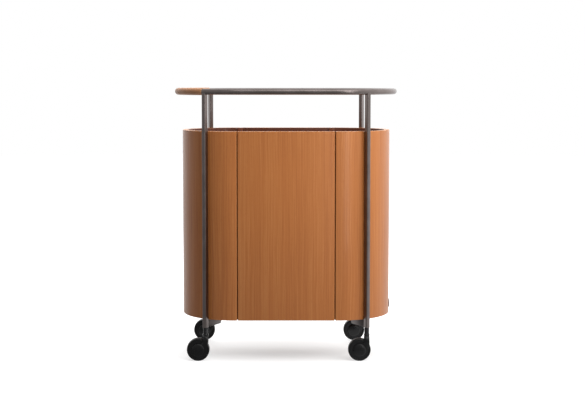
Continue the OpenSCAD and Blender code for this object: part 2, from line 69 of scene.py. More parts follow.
class Corner(Enum):
    """A corner of the trolley, as the signs of its X and Y."""

    FRONT_LEFT = (-1, -1)
    FRONT_RIGHT = (1, -1)
    REAR_LEFT = (-1, 1)
    REAR_RIGHT = (1, 1)

    @property
    def tag(self) -> str:
        """The corner's words at the end of a name."""
        return self.name.lower()


class Grain(Enum):
    """Coordinates that a wood pattern follows, as how much finer it is along each axis than along the grain."""

    UNROLLED = (1.0, 0.0, 0.0)
    UPRIGHT = (1.0, 1.0, 0.0)
    LENGTHWISE = (0.0, 1.0, 1.0)


def corners_of(node: str) -> tuple[Vector, Vector]:
    """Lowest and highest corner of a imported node."""
    low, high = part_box(node)
    return Vector(low), Vector(high)


@dataclass(frozen=True)
class Plan:
    """Main sizes of the trolley in metres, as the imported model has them."""

    tub_r: float
    inside: float
    end_x: float
    shell_x: float
    foot_z: float
    deck_z: float
    rim_z: float
    tube_r: float
    rail_r: float
    rail_z: float
    post_bottom: float
    posts: dict[Corner, Vector]

    @classmethod
    def read(cls: type["Plan"]) -> "Plan":
        """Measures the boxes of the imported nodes.

        Returns:
            The sizes that the dressed pieces are built to.
        """
        shell_low, shell_high = corners_of("shell_right")
        rail_low, rail_high = corners_of("rail_tube")
        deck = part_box("deck")
        tube_r = (rail_high.z - rail_low.z) / 2
        posts = {}
        for corner in Corner:
            low, high = corners_of(f"post_{corner.tag}")
            posts[corner] = Vector(((low.x + high.x) / 2, (low.y + high.y) / 2, 0.0))
        return cls(
            tub_r=shell_high.y,
            inside=-deck[0][1],
            end_x=shell_high.x - shell_high.y,
            shell_x=shell_low.x,
            foot_z=shell_low.z,
            deck_z=deck[1][2],
            rim_z=shell_high.z,
            tube_r=tube_r,
            rail_r=rail_high.y - tube_r,
            rail_z=rail_high.z - tube_r,
            post_bottom=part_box("post_front_left")[0][2],
            posts=posts,
        )

    def at_post(self, corner: Corner) -> Matrix:
        """Moves to a post and turns X to the middle of its round end.

        Args:
            corner: The post's corner.

        Returns:
            The place of what is drawn round the origin.
        """
        post = self.posts[corner]
        heading = math.atan2(-post.y, corner.value[0] * self.end_x - post.x)
        return Matrix.Translation(post) @ Matrix.Rotation(heading, 4, "Z")

    def post_angle(self) -> float:
        """Angle of the posts round the end's middle, from the trolley's long axis."""
        post = self.posts[Corner.REAR_RIGHT]
        return math.atan2(post.y, post.x - self.end_x)

    def outward(self, place: Vector) -> Vector:
        """Direction out of the tub at a place on its wall.

        Args:
            place: A point of the wall.

        Returns:
            The level unit vector from the tub's middle line.
        """
        middle = Vector((max(-self.end_x, min(self.end_x, place.x)), 0.0, place.z))
        return (place - middle).normalized()

    def run(self, place: Vector) -> float:
        """Length along the outside of the tub from the middle of its front.

        Args:
            place: A point of the wall.

        Returns:
            The unrolled length in metres, negative towards the grip.
        """
        side = 1.0 if place.x >= 0 else -1.0
        across = abs(place.x)
        if across > self.end_x:
            turn = math.atan2(across - self.end_x, -place.y)
            return side * (self.end_x + self.tub_r * turn)
        if place.y < 0:
            return place.x
        return side * (self.end_x + math.pi * self.tub_r + self.end_x - across)


# ---------------------------------------------------------------- modelling by operators


def choose_only(piece: Object) -> None:
    """Deselects everything and makes one piece the active one.

    Args:
        piece: The piece to work on.
    """
    bpy.ops.object.select_all(action="DESELECT")
    piece.select_set(True)
    bpy.context.view_layer.objects.active = piece


def add(kind: str, scale: Point = (1, 1, 1), **settings: Any) -> Object:
    """Adds a primitive mesh at its size and place, with its place put in its mesh.

    Args:
        kind: The primitive's name, such as "circle".
        scale: How much it is drawn out along its own axes.
        settings: Settings of the operator.

    Returns:
        The new object, which sits at the origin.
    """
    bpy.ops.object.select_all(action="DESELECT")
    getattr(bpy.ops.mesh, f"primitive_{kind}_add")(**settings)
    piece = bpy.context.object
    piece.scale = scale
    bpy.ops.object.transform_apply(location=True, rotation=True, scale=True)
    return piece


def block(low: Point, high: Point) -> Object:
    """Adds a block between two corners, as the start of a piece or as a cutter.

    Args:
        low: Its lowest corner.
        high: Its highest corner.

    Returns:
        The block.
    """
    middle = [(a + b) / 2 for a, b in zip(low, high)]
    return add("cube", size=1, location=middle, scale=[b - a for a, b in zip(low, high)])


@contextmanager
def editing(piece: Object) -> Iterator[None]:
    """Opens a piece in edit mode with all of it selected, and closes it again.

    Args:
        piece: The piece to edit.
    """
    choose_only(piece)
    bpy.ops.object.mode_set(mode="EDIT")
    bpy.ops.mesh.select_mode(type="VERT")
    bpy.ops.mesh.select_all(action="SELECT")
    yield
    bpy.ops.object.mode_set(mode="OBJECT")


def pick(piece: Object, part: Part, test: Callable[[Vector, Vector], bool]) -> None:
    """Selects only the parts of a piece in edit mode that pass a test.

    Args:
        piece: The piece in edit mode.
        part: What is tested and selected.
        test: Gets the middle of a part and its normal, or an edge's direction.
    """
    bpy.ops.mesh.select_mode(type=part.name)
    bpy.ops.mesh.select_all(action="DESELECT")
    grid = bmesh.from_edit_mesh(piece.data)
    if part is Part.EDGE:
        for edge in grid.edges:
            start, end = (corner.co for corner in edge.verts)
            edge.select_set(test((start + end) / 2, (end - start).normalized()))
    else:
        for face in grid.faces:
            face.select_set(test(face.calc_center_median(), face.normal))
    grid.select_flush_mode()
    bmesh.update_edit_mesh(piece.data)


def extrude(by: Point) -> None:
    """Extrudes what is selected by a vector.

    Args:
        by: The move in metres.
    """
    bpy.ops.mesh.extrude_region_move(TRANSFORM_OT_translate={"value": tuple(by)})


def swing(angle: float, centre: Point, axis: Point = (0, 0, 1), steps: int = 48) -> None:
    """Spins what is selected round an axis, anticlockwise as seen from the axis's tip.

    Args:
        angle: How far, in radians.
        centre: A point of the axis.
        axis: Its direction.
        steps: Number of steps.
    """
    bpy.ops.mesh.spin(steps=steps, angle=-angle, center=centre, axis=axis)


def close_up() -> None:
    """Merges doubled corners of a piece in edit mode and turns its faces outwards."""
    bpy.ops.mesh.select_all(action="SELECT")
    bpy.ops.mesh.remove_doubles(threshold=2e-6)
    bpy.ops.mesh.normals_make_consistent(inside=False)


def wire(points: Sequence[Point], closed: bool = True) -> Object:
    """Draws a line by extruding one corner from point to point.

    Args:
        points: The points in order.
        closed: Whether the line comes back to its start.

    Returns:
        The line as a mesh of edges.
    """
    route = [Vector(point) for point in points]
    if closed:
        route.append(route[0])
    piece = add("plane", size=MM, location=route[0])
    with editing(piece):
        bpy.ops.mesh.merge(type="CENTER")
        for start, end in zip(route, route[1:]):
            extrude(end - start)
        bpy.ops.mesh.select_all(action="SELECT")
        bpy.ops.mesh.remove_doubles(threshold=2e-6)
    return piece


def lathe(points: Sequence[Point], centre: Point, axis: Point, closed: bool = True, steps: int = 96) -> Object:
    """Turns a profile once round an axis.

    Args:
        points: The profile, in space.
        centre: A point of the axis.
        axis: Its direction.
        closed: Whether the profile comes back to its start; one from axis to axis doesn't.
        steps: Number of steps round.

    Returns:
        The turned piece.
    """
    piece = wire(points, closed)
    with editing(piece):
        swing(2 * math.pi, centre, axis, steps)
        close_up()
    return piece


def turn_upright(profile: Sequence[tuple[float, float]], steps: int) -> Object:
    """Turns a profile of radius and height round Z, from axis to axis.

    Args:
        profile: Its points.
        steps: Number of steps round.

    Returns:
        The turned piece.
    """
    return lathe([(radius, 0, height) for radius, height in profile], (0, 0, 0), (0, 0, 1), False, steps)


def modify(piece: Object, kind: str, **settings: Any) -> None:
    """Adds a modifier with its settings and applies it.

    Args:
        piece: The piece to shape.
        kind: The modifier's type.
        settings: Its settings.
    """
    choose_only(piece)
    modifier = piece.modifiers.new(kind.title(), kind)
    for name, value in settings.items():
        setattr(modifier, name, value)
    bpy.ops.object.modifier_apply(modifier=modifier.name)


def ease(piece: Object, width: float, segments: int = 3, over: float = 40) -> None:
    """Rounds the sharp edges of a piece.

    Args:
        piece: The piece.
        width: Width of the rounding in metres.
        segments: Faces across it.
        over: Least angle of an edge that counts as sharp, in degrees.
    """
    modify(piece, "BEVEL", width=width, segments=segments, limit_method="ANGLE", angle_limit=math.radians(over),
           use_clamp_overlap=True, harden_normals=False)


def cut(piece: Object, cutter: Object, operation: str = "DIFFERENCE") -> None:
    """Cuts a piece with another one, or joins it, and removes the tool.

    Args:
        piece: The piece that stays.
        cutter: The tool.
        operation: DIFFERENCE or UNION.
    """
    modify(piece, "BOOLEAN", object=cutter, operation=operation, solver="EXACT")
    discard(cutter)


def discard(*tools: Object) -> None:
    """Removes cutters and patterns that are done with."""
    for tool in tools:
        bpy.data.objects.remove(tool)


def join(pieces: Sequence[Object]) -> Object:
    """Puts several pieces in one object.

    Args:
        pieces: The pieces; the first one stays.

    Returns:
        The first piece, now with all their meshes.
    """
    choose_only(pieces[0])
    for piece in pieces:
        piece.select_set(True)
    if len(pieces) > 1:
        bpy.ops.object.join()
    return pieces[0]


def copy_of(piece: Object, place: Matrix) -> Object:
    """Copies a piece with a mesh of its own to a place.

    Args:
        piece: The piece to copy.
        place: Turn and move of the copy.

    Returns:
        The copy, with its place in its mesh.
    """
    choose_only(piece)
    bpy.ops.object.duplicate(linked=False)
    twin = bpy.context.object
    twin.matrix_world = place
    bpy.ops.object.transform_apply(location=True, rotation=True, scale=True)
    return twin


def arc(centre: Point, radius: float, start: float, end: float, count: int) -> list[tuple[float, float]]:
    """Points on an arc of a flat drawing.

    Args:
        centre: Its middle.
        radius: Its radius.
        start: First angle in degrees.
        end: Last angle in degrees.
        count: Number of steps.

    Returns:
        The points, both ends among them.
    """
    angles = [math.radians(start + (end - start) * step / count) for step in range(count + 1)]
    return [(centre[0] + radius * math.cos(a), centre[1] + radius * math.sin(a)) for a in angles]


def dome(radius: float, rise: float, steps: int) -> list[tuple[float, float]]:
    """Points of a shallow dome's profile, from its edge to its top.

    Args:
        radius: Radius of its edge.
        rise: Height of its top over the edge.
        steps: Number of steps.

    Returns:
        The points as radius and height.
    """
    angles = [math.radians(90 * step / steps) for step in range(steps + 1)]
    return [(radius * math.cos(a), rise * math.sin(a)) for a in angles]


def hoop(radius: float, middle: Point, reach: float, heading: float, sides: int = 32) -> Object:
    """Adds a circle that stands across a ring, ready to be spun along it.

    Args:
        radius: The circle's radius.
        middle: The ring's middle.
        reach: Distance from there to the circle's middle.
        heading: Its angle round the ring, in radians.
        sides: Corners of the circle.

    Returns:
        The circle as edges.
    """
    place = Vector(middle) + Vector((math.cos(heading), math.sin(heading), 0.0)) * reach
    return add("circle", vertices=sides, radius=radius, location=place, rotation=(math.pi / 2, 0, heading))


def map_surface(piece: Object, name: str, flat: Callable[[Vector], tuple[float, float]]) -> None:
    """Gives a piece a UV map in metres.

    Args:
        piece: The piece.
        name: The map's name.
        flat: Gives the place on the flat for a point of the surface.
    """
    mesh = piece.data
    layer = mesh.uv_layers.new(name=name)
    for loop in mesh.loops:
        layer.data[loop.index].uv = flat(mesh.vertices[loop.vertex_index].co)


def finish_piece(piece: Object, name: str, body: str, slot: str, finishes: Sequence["Finish"],
                 nodes: Sequence[str] = (), crease: float = 35) -> Object:
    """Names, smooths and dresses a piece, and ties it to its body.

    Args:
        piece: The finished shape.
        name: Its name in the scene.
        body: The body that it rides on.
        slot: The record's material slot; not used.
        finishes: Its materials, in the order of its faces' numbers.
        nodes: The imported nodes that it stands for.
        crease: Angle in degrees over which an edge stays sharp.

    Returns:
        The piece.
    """
    piece.name = piece.data.name = name
    choose_only(piece)
    bpy.ops.object.shade_smooth_by_angle(angle=math.radians(crease))
    while len(piece.data.materials) < len(finishes):
        piece.data.materials.append(None)
    for index, finish in enumerate(finishes):
        piece.data.materials[index] = finish.material()
    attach(piece, body)
    if nodes:
        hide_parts(*nodes)
    log.info("%s: %d faces, on %s", name, len(piece.data.polygons), body)
    return piece


def dress_nodes(names: Sequence[str], finish: "Finish") -> None:
    """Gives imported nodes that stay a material.

    Args:
        names: The nodes.
        finish: Their finish.
    """
    for name in names:
        node = frame["nodes"][name]
        node.data.materials.clear()
        node.data.materials.append(finish.material())
        log.info("%s: packed solid in %s", name, finish.name)


# ---------------------------------------------------------------- materials


def linear(code: str) -> tuple[float, float, float, float]:
    """Turns an sRGB hex colour to linear.

    Args:
        code: The colour, such as "#AC6E42".

    Returns:
        Red, green, blue and alpha.
    """
    def turn(value: float) -> float:
        """Turns one channel."""
        return value / 12.92 if value <= 0.04045 else ((value + 0.055) / 1.055) ** 2.4

    red, green, blue = (turn(int(code[i:i + 2], 16) / 255) for i in (1, 3, 5))
    return red, green, blue, 1.0


def add_node(tree: bpy.types.NodeTree, kind: str, inputs: dict[Any, Any] | None = None,
             **settings: Any) -> bpy.types.Node:
    """Adds a shader node with its settings, values and links.

    Args:
        tree: The node tree.
        kind: The node's type, without "ShaderNode".
        inputs: A value, or the socket that is linked, for each input by name or number.
        settings: The node's own settings.

    Returns:
        The node.
    """
    node = tree.nodes.new(f"ShaderNode{kind}")
    for name, value in settings.items():
        setattr(node, name, value)
    for key, value in (inputs or {}).items():
        if isinstance(value, bpy.types.NodeSocket):
            tree.links.new(value, node.inputs[key])
        else:
            node.inputs[key].default_value = value
    return node


@dataclass(frozen=True)
class Finish:
    """A finish that makes its material once."""

    name: str

    def material(self) -> bpy.types.Material:
        """Returns the finish's material, made on the first call."""
        made = bpy.data.materials.get(self.name)
        if made is None:
            made = bpy.data.materials.new(self.name)
            made.use_nodes = True
            made.node_tree.nodes.clear()
            shader = self.paint(made.node_tree)
            add_node(made.node_tree, "OutputMaterial", {"Surface": shader})
        return made

    def paint(self, tree: bpy.types.NodeTree) -> bpy.types.NodeSocket:
        """Builds the finish's nodes and returns the shader's socket."""
        raise NotImplementedError

    @staticmethod
    def blend(tree: bpy.types.NodeTree, share: bpy.types.NodeSocket,
              stops: dict[float, str]) -> bpy.types.NodeSocket:
        """Turns a share to a colour between stops.

        Args:
            tree: The node tree.
            share: The share, 0 to 1.
            stops: A hex colour for each share.

        Returns:
            The colour socket.
        """
        ramp = add_node(tree, "ValToRGB", {"Fac": share})
        elements = ramp.color_ramp.elements
        while len(elements) < len(stops):
            elements.new(0.5)
        for element, (place, code) in zip(elements, sorted(stops.items())):
            element.position = place
            element.color = linear(code)
        return ramp.outputs["Color"]


@dataclass(frozen=True)
class Veneer(Finish):
    """Sliced red-brown wood under satin lacquer: straight fine figure, dark pores, a soft gloss at a slant."""

    dark: str
    mid: str
    light: str
    grain: Grain = Grain.UNROLLED
    gloss: float = 0.40
    lacquer: float = 0.175

    def paint(self, tree: bpy.types.NodeTree) -> bpy.types.NodeSocket:
        """Builds the wood."""
        if self.grain is Grain.UNROLLED:
            place = add_node(tree, "UVMap", uv_map="grain").outputs["UV"]
        else:
            place = add_node(tree, "TexCoord").outputs["Object"]

        def figure(width: float, length: float, detail: float) -> bpy.types.NodeSocket:
            """Noise drawn out along the grain, with marks of a width and a length in millimetres."""
            fine, drawn = 1000 / width, 1000 / length
            scale = [drawn + (fine - drawn) * share for share in self.grain.value]
            stretched = add_node(tree, "Mapping", {"Vector": waved, "Scale": scale})
            noise = add_node(tree, "TexNoise", {"Vector": stretched.outputs["Vector"], "Scale": 1.0,
                                                "Detail": detail, "Roughness": 0.55})
            return noise.outputs["Fac"]

        # The trunk's slow wave moves the figure about 3 mm sideways over a hand's length.
        drift = add_node(tree, "TexNoise", {"Vector": place, "Scale": 5.0, "Detail": 1.0})
        centred = add_node(tree, "VectorMath", {0: drift.outputs["Color"], 1: (0.5, 0.5, 0.5)},
                           operation="SUBTRACT")
        moved = add_node(tree, "VectorMath", {0: centred.outputs["Vector"], "Scale": 0.012}, operation="SCALE")
        waved = add_node(tree, "VectorMath", {0: place, 1: moved.outputs["Vector"]}).outputs["Vector"]

        # Leaves drift in tone over 60 mm, annual rings make streaks of 4.5 mm, and fibres are drawn 1.6 mm wide,
        # about ten times their real width, so that they show.
        leaf = figure(60, 1800, 1.0)
        streak = figure(4.5, 600, 3.0)
        fibre = figure(1.6, 130, 2.0)
        pores = figure(0.9, 16, 1.0)
        tone = -0.32
        for mark, share in ((leaf, 0.35), (streak, 0.85), (fibre, 0.45)):
            tone = add_node(tree, "Math", {0: mark, 1: share, 2: tone}, operation="MULTIPLY_ADD").outputs["Value"]
        wood = self.blend(tree, tone, {0.2: self.dark, 0.5: self.mid, 0.8: self.light})
        pits = add_node(tree, "MapRange", {"Value": pores, "From Min": 0.60, "From Max": 0.72, "To Max": 0.45})
        colour = add_node(tree, "Mix", {"Factor": pits.outputs["Result"], "A": wood, "B": linear(self.dark)},
                          data_type="RGBA")
        sheen = add_node(tree, "MapRange", {"Value": fibre, "To Min": self.gloss - 0.05,
                                            "To Max": self.gloss + 0.07})
        relief = add_node(tree, "Math", {0: pits.outputs["Result"], 1: -1.2, 2: fibre}, operation="MULTIPLY_ADD")
        bump = add_node(tree, "Bump", {"Height": relief.outputs["Value"], "Strength": 0.12, "Distance": 0.0004})
        body = add_node(tree, "BsdfPrincipled", {
            "Base Color": colour.outputs[2], "Roughness": sheen.outputs["Result"], "IOR": 1.5,
            "Specular IOR Level": 0.25, "Coat Weight": self.lacquer, "Coat Roughness": 0.2,
            "Normal": bump.outputs["Normal"],
        })
        return body.outputs["BSDF"]


@dataclass(frozen=True)
class LacqueredTube(Finish):
    """Polished steel tube under a smoked lacquer: dark, warm and glossy, with a faint orange peel."""

    tone: str = "#7C7371"
    shade: str = "#6F6764"
    gloss: float = 0.30

    def paint(self, tree: bpy.types.NodeTree) -> bpy.types.NodeSocket:
        """Builds the tube's finish."""
        place = add_node(tree, "TexCoord").outputs["Object"]
        # Lacquer gathers in soft clouds some 40 mm wide, and its orange peel is about 1.5 mm across.
        cloud = add_node(tree, "TexNoise", {"Vector": place, "Scale": 25.0, "Detail": 2.0}).outputs["Fac"]
        peel = add_node(tree, "TexNoise", {"Vector": place, "Scale": 650.0, "Detail": 1.0}).outputs["Fac"]
        colour = self.blend(tree, cloud, {0.3: self.shade, 0.7: self.tone})
        rough = add_node(tree, "MapRange", {"Value": cloud, "To Min": self.gloss - 0.04,
                                            "To Max": self.gloss + 0.06})
        bump = add_node(tree, "Bump", {"Height": peel, "Strength": 0.02, "Distance": 0.00005})
        body = add_node(tree, "BsdfPrincipled", {
            "Base Color": colour, "Metallic": 1.0, "Roughness": rough.outputs["Result"],
            "Normal": bump.outputs["Normal"],
        })
        return body.outputs["BSDF"]


@dataclass(frozen=True)
class SaddleLeather(Finish):
    """Vegetable-tanned saddle leather, waxed: small pebbled grain, soft stretch marks and a dull warm gloss."""

    tone: str = "#A87754"
    shade: str = "#9A6A49"
    glow: str = "#B4835F"

    def paint(self, tree: bpy.types.NodeTree) -> bpy.types.NodeSocket:
        """Builds the leather."""
        place = add_node(tree, "UVMap", uv_map="hide").outputs["UV"]
        # Hair cells are about 0.9 mm apart, drawn at 1.4 mm so that they show; blotches are 30 mm wide.
        voronoi = add_node(tree, "TexVoronoi", {"Vector": place, "Scale": 710.0, "Randomness": 0.9})
        cells = voronoi.outputs["Distance"]
        blotch = add_node(tree, "TexNoise", {"Vector": place, "Scale": 33.0, "Detail": 3.0}).outputs["Fac"]
        # Creases run across the grip where the hide is bent round the tube.
        drawn = add_node(tree, "Mapping", {"Vector": place, "Scale": (420.0, 60.0, 1.0)}).outputs["Vector"]
        crease = add_node(tree, "TexNoise", {"Vector": drawn, "Scale": 1.0, "Detail": 2.0}).outputs["Fac"]
        colour = self.blend(tree, blotch, {0.25: self.shade, 0.5: self.tone, 0.75: self.glow})
        relief = add_node(tree, "Math", {0: crease, 1: 0.8, 2: cells}, operation="MULTIPLY_ADD").outputs["Value"]
        bump = add_node(tree, "Bump", {"Height": relief, "Strength": 0.2, "Distance": 0.0005})
        rough = add_node(tree, "MapRange", {"Value": cells, "To Min": 0.42, "To Max": 0.58})
        body = add_node(tree, "BsdfPrincipled", {
            "Base Color": colour, "Roughness": rough.outputs["Result"], "IOR": 1.48,
            "Normal": bump.outputs["Normal"],
        })
        return body.outputs["BSDF"]


@dataclass(frozen=True)
class FibrousEdge(Finish):
    """Cut leather edge or waxed linen thread: pale, matt and made of short fibres."""

    tone: str = "#C8A684"
    shade: str = "#A98360"
    pitch: float = 0.5

    def paint(self, tree: bpy.types.NodeTree) -> bpy.types.NodeSocket:
        """Builds the fibres, whose pitch is in millimetres."""
        place = add_node(tree, "TexCoord").outputs["Object"]
        strands = add_node(tree, "TexNoise", {"Vector": place, "Scale": 1000 / self.pitch, "Detail": 2.0})
        fibre = strands.outputs["Fac"]
        colour = self.blend(tree, fibre, {0.35: self.shade, 0.65: self.tone})
        bump = add_node(tree, "Bump", {"Height": fibre, "Strength": 0.3, "Distance": 0.0003})
        body = add_node(tree, "BsdfPrincipled", {
            "Base Color": colour, "Roughness": 0.8, "IOR": 1.45, "Normal": bump.outputs["Normal"],
        })
        return body.outputs["BSDF"]


@dataclass(frozen=True)
class MouldedPlastic(Finish):
    """Glass-filled nylon or soft elastomer from a spark-eroded mould: near black, fine texture, grey lights."""

    tone: str = "#09090A"
    worn: str = "#0F0F10"
    gloss: float = 0.20
    texture: float = 0.7
    depth: float = 0.03

    def paint(self, tree: bpy.types.NodeTree) -> bpy.types.NodeSocket:
        """Builds the moulding, whose texture is in millimetres and drawn about twice as coarse as it is."""
        place = add_node(tree, "TexCoord").outputs["Object"]
        grain = add_node(tree, "TexNoise", {"Vector": place, "Scale": 1000 / self.texture, "Detail": 2.0})
        spark = grain.outputs["Fac"]
        cloud = add_node(tree, "TexNoise", {"Vector": place, "Scale": 60.0, "Detail": 2.0}).outputs["Fac"]
        colour = self.blend(tree, cloud, {0.35: self.tone, 0.75: self.worn})
        rough = add_node(tree, "MapRange", {"Value": cloud, "To Min": self.gloss - 0.05,
                                            "To Max": self.gloss + 0.08})
        bump = add_node(tree, "Bump", {"Height": spark, "Strength": self.depth, "Distance": 0.0004})
        body = add_node(tree, "BsdfPrincipled", {
            "Base Color": colour, "Roughness": rough.outputs["Result"], "IOR": 1.5,
            "Specular IOR Level": 0.28, "Normal": bump.outputs["Normal"],
        })
        return body.outputs["BSDF"]


@dataclass(frozen=True)
class ZincedSteel(Finish):
    """Zinc-plated steel: bright, slightly blue, with faint drawing lines."""

    tone: str = "#B9BBBE"
    shade: str = "#9FA1A5"

    def paint(self, tree: bpy.types.NodeTree) -> bpy.types.NodeSocket:
        """Builds the plating."""
        place = add_node(tree, "TexCoord").outputs["Object"]
        # Drawing lines are about 0.4 mm apart and 30 mm long.
        drawn = add_node(tree, "Mapping", {"Vector": place, "Scale": (33.0, 2500.0, 2500.0)}).outputs["Vector"]
        line = add_node(tree, "TexNoise", {"Vector": drawn, "Scale": 1.0, "Detail": 2.0}).outputs["Fac"]
        colour = self.blend(tree, line, {0.3: self.shade, 0.7: self.tone})
        rough = add_node(tree, "MapRange", {"Value": line, "To Min": 0.26, "To Max": 0.40})
        bump = add_node(tree, "Bump", {"Height": line, "Strength": 0.08, "Distance": 0.0002})
        body = add_node(tree, "BsdfPrincipled", {
            "Base Color": colour, "Metallic": 1.0, "Roughness": rough.outputs["Result"],
            "Normal": bump.outputs["Normal"],
        })
        return body.outputs["BSDF"]


OUTER_VENEER = Veneer("satin_veneer_outside", dark="#9B5A2F", mid="#AD6A37", light="#BA7945")
# The inside veneer is the outside's wood made darker and redder: painted shade of the tub's shadowed inner walls.
INNER_VENEER_PAINTED_SHADE = Veneer("satin_veneer_inside", dark="#432013", mid="#4F2818", light="#5A301F", gloss=0.46)
# The edges are solid wood a little lighter than the veneer, and the lighter tone also paints the highlight along
# the rounded rim.
LIPPING_AND_HIGHLIGHT = Veneer("solid_wood_lipping", dark="#A3642F", mid="#B4753C", light="#C08448", grain=Grain.UPRIGHT)
BOARD = Veneer("board_veneer_lengthwise", dark="#8A5232", mid="#9E643D", light="#AE744B", grain=Grain.LENGTHWISE,
               gloss=0.48, lacquer=0.08)
STILE = Veneer("stile_veneer_upright", dark="#6E3D27", mid="#824A31", light="#92573B", grain=Grain.UPRIGHT,
               gloss=0.5, lacquer=0.05)
# The gap strips' very dark veneer is painted shade, so that the gaps above the deck read as shadowed.
GAP_COVER_PAINTED_SHADE = Veneer("gap_cover_veneer_upright", dark="#522819", mid="#60331F", light="#6C3C27", grain=Grain.UPRIGHT,
               gloss=0.46)
TUBE = LacqueredTube("smoked_lacquer_on_steel_tube")
LEATHER = SaddleLeather("waxed_saddle_leather")
LEATHER_EDGE = FibrousEdge("raw_leather_edge")
THREAD = FibrousEdge("waxed_linen_thread", tone="#B8936C", shade="#96714D", pitch=0.7)
NYLON = MouldedPlastic("moulded_nylon_satin")
NYLON_CAP = MouldedPlastic("moulded_nylon_cap", tone="#080809", worn="#0E0E0F", gloss=0.27)
WHEEL_NYLON = MouldedPlastic("moulded_nylon_wheel", tone="#0E0E0F", worn="#141415", gloss=0.42, depth=0.1)
ELASTOMER = MouldedPlastic("elastomer_tyre", tone="#09090A", worn="#101011", gloss=0.42, texture=1.0, depth=0.12)
PLATE_STEEL = LacqueredTube("smoked_lacquer_on_plate", tone="#433E3C", shade="#3A3633", gloss=0.35)
# The brackets carry the tube's lacquer made darker: painted shade from the dark underside of the tub that they
# mirror.
BRACKET_STEEL_PAINTED_SHADE = LacqueredTube("smoked_lacquer_on_bracket", tone="#554F4D", shade="#4C4645", gloss=0.32)
ZINC = ZincedSteel("zinc_plated_steel")


# ---------------------------------------------------------------- sub-assemblies


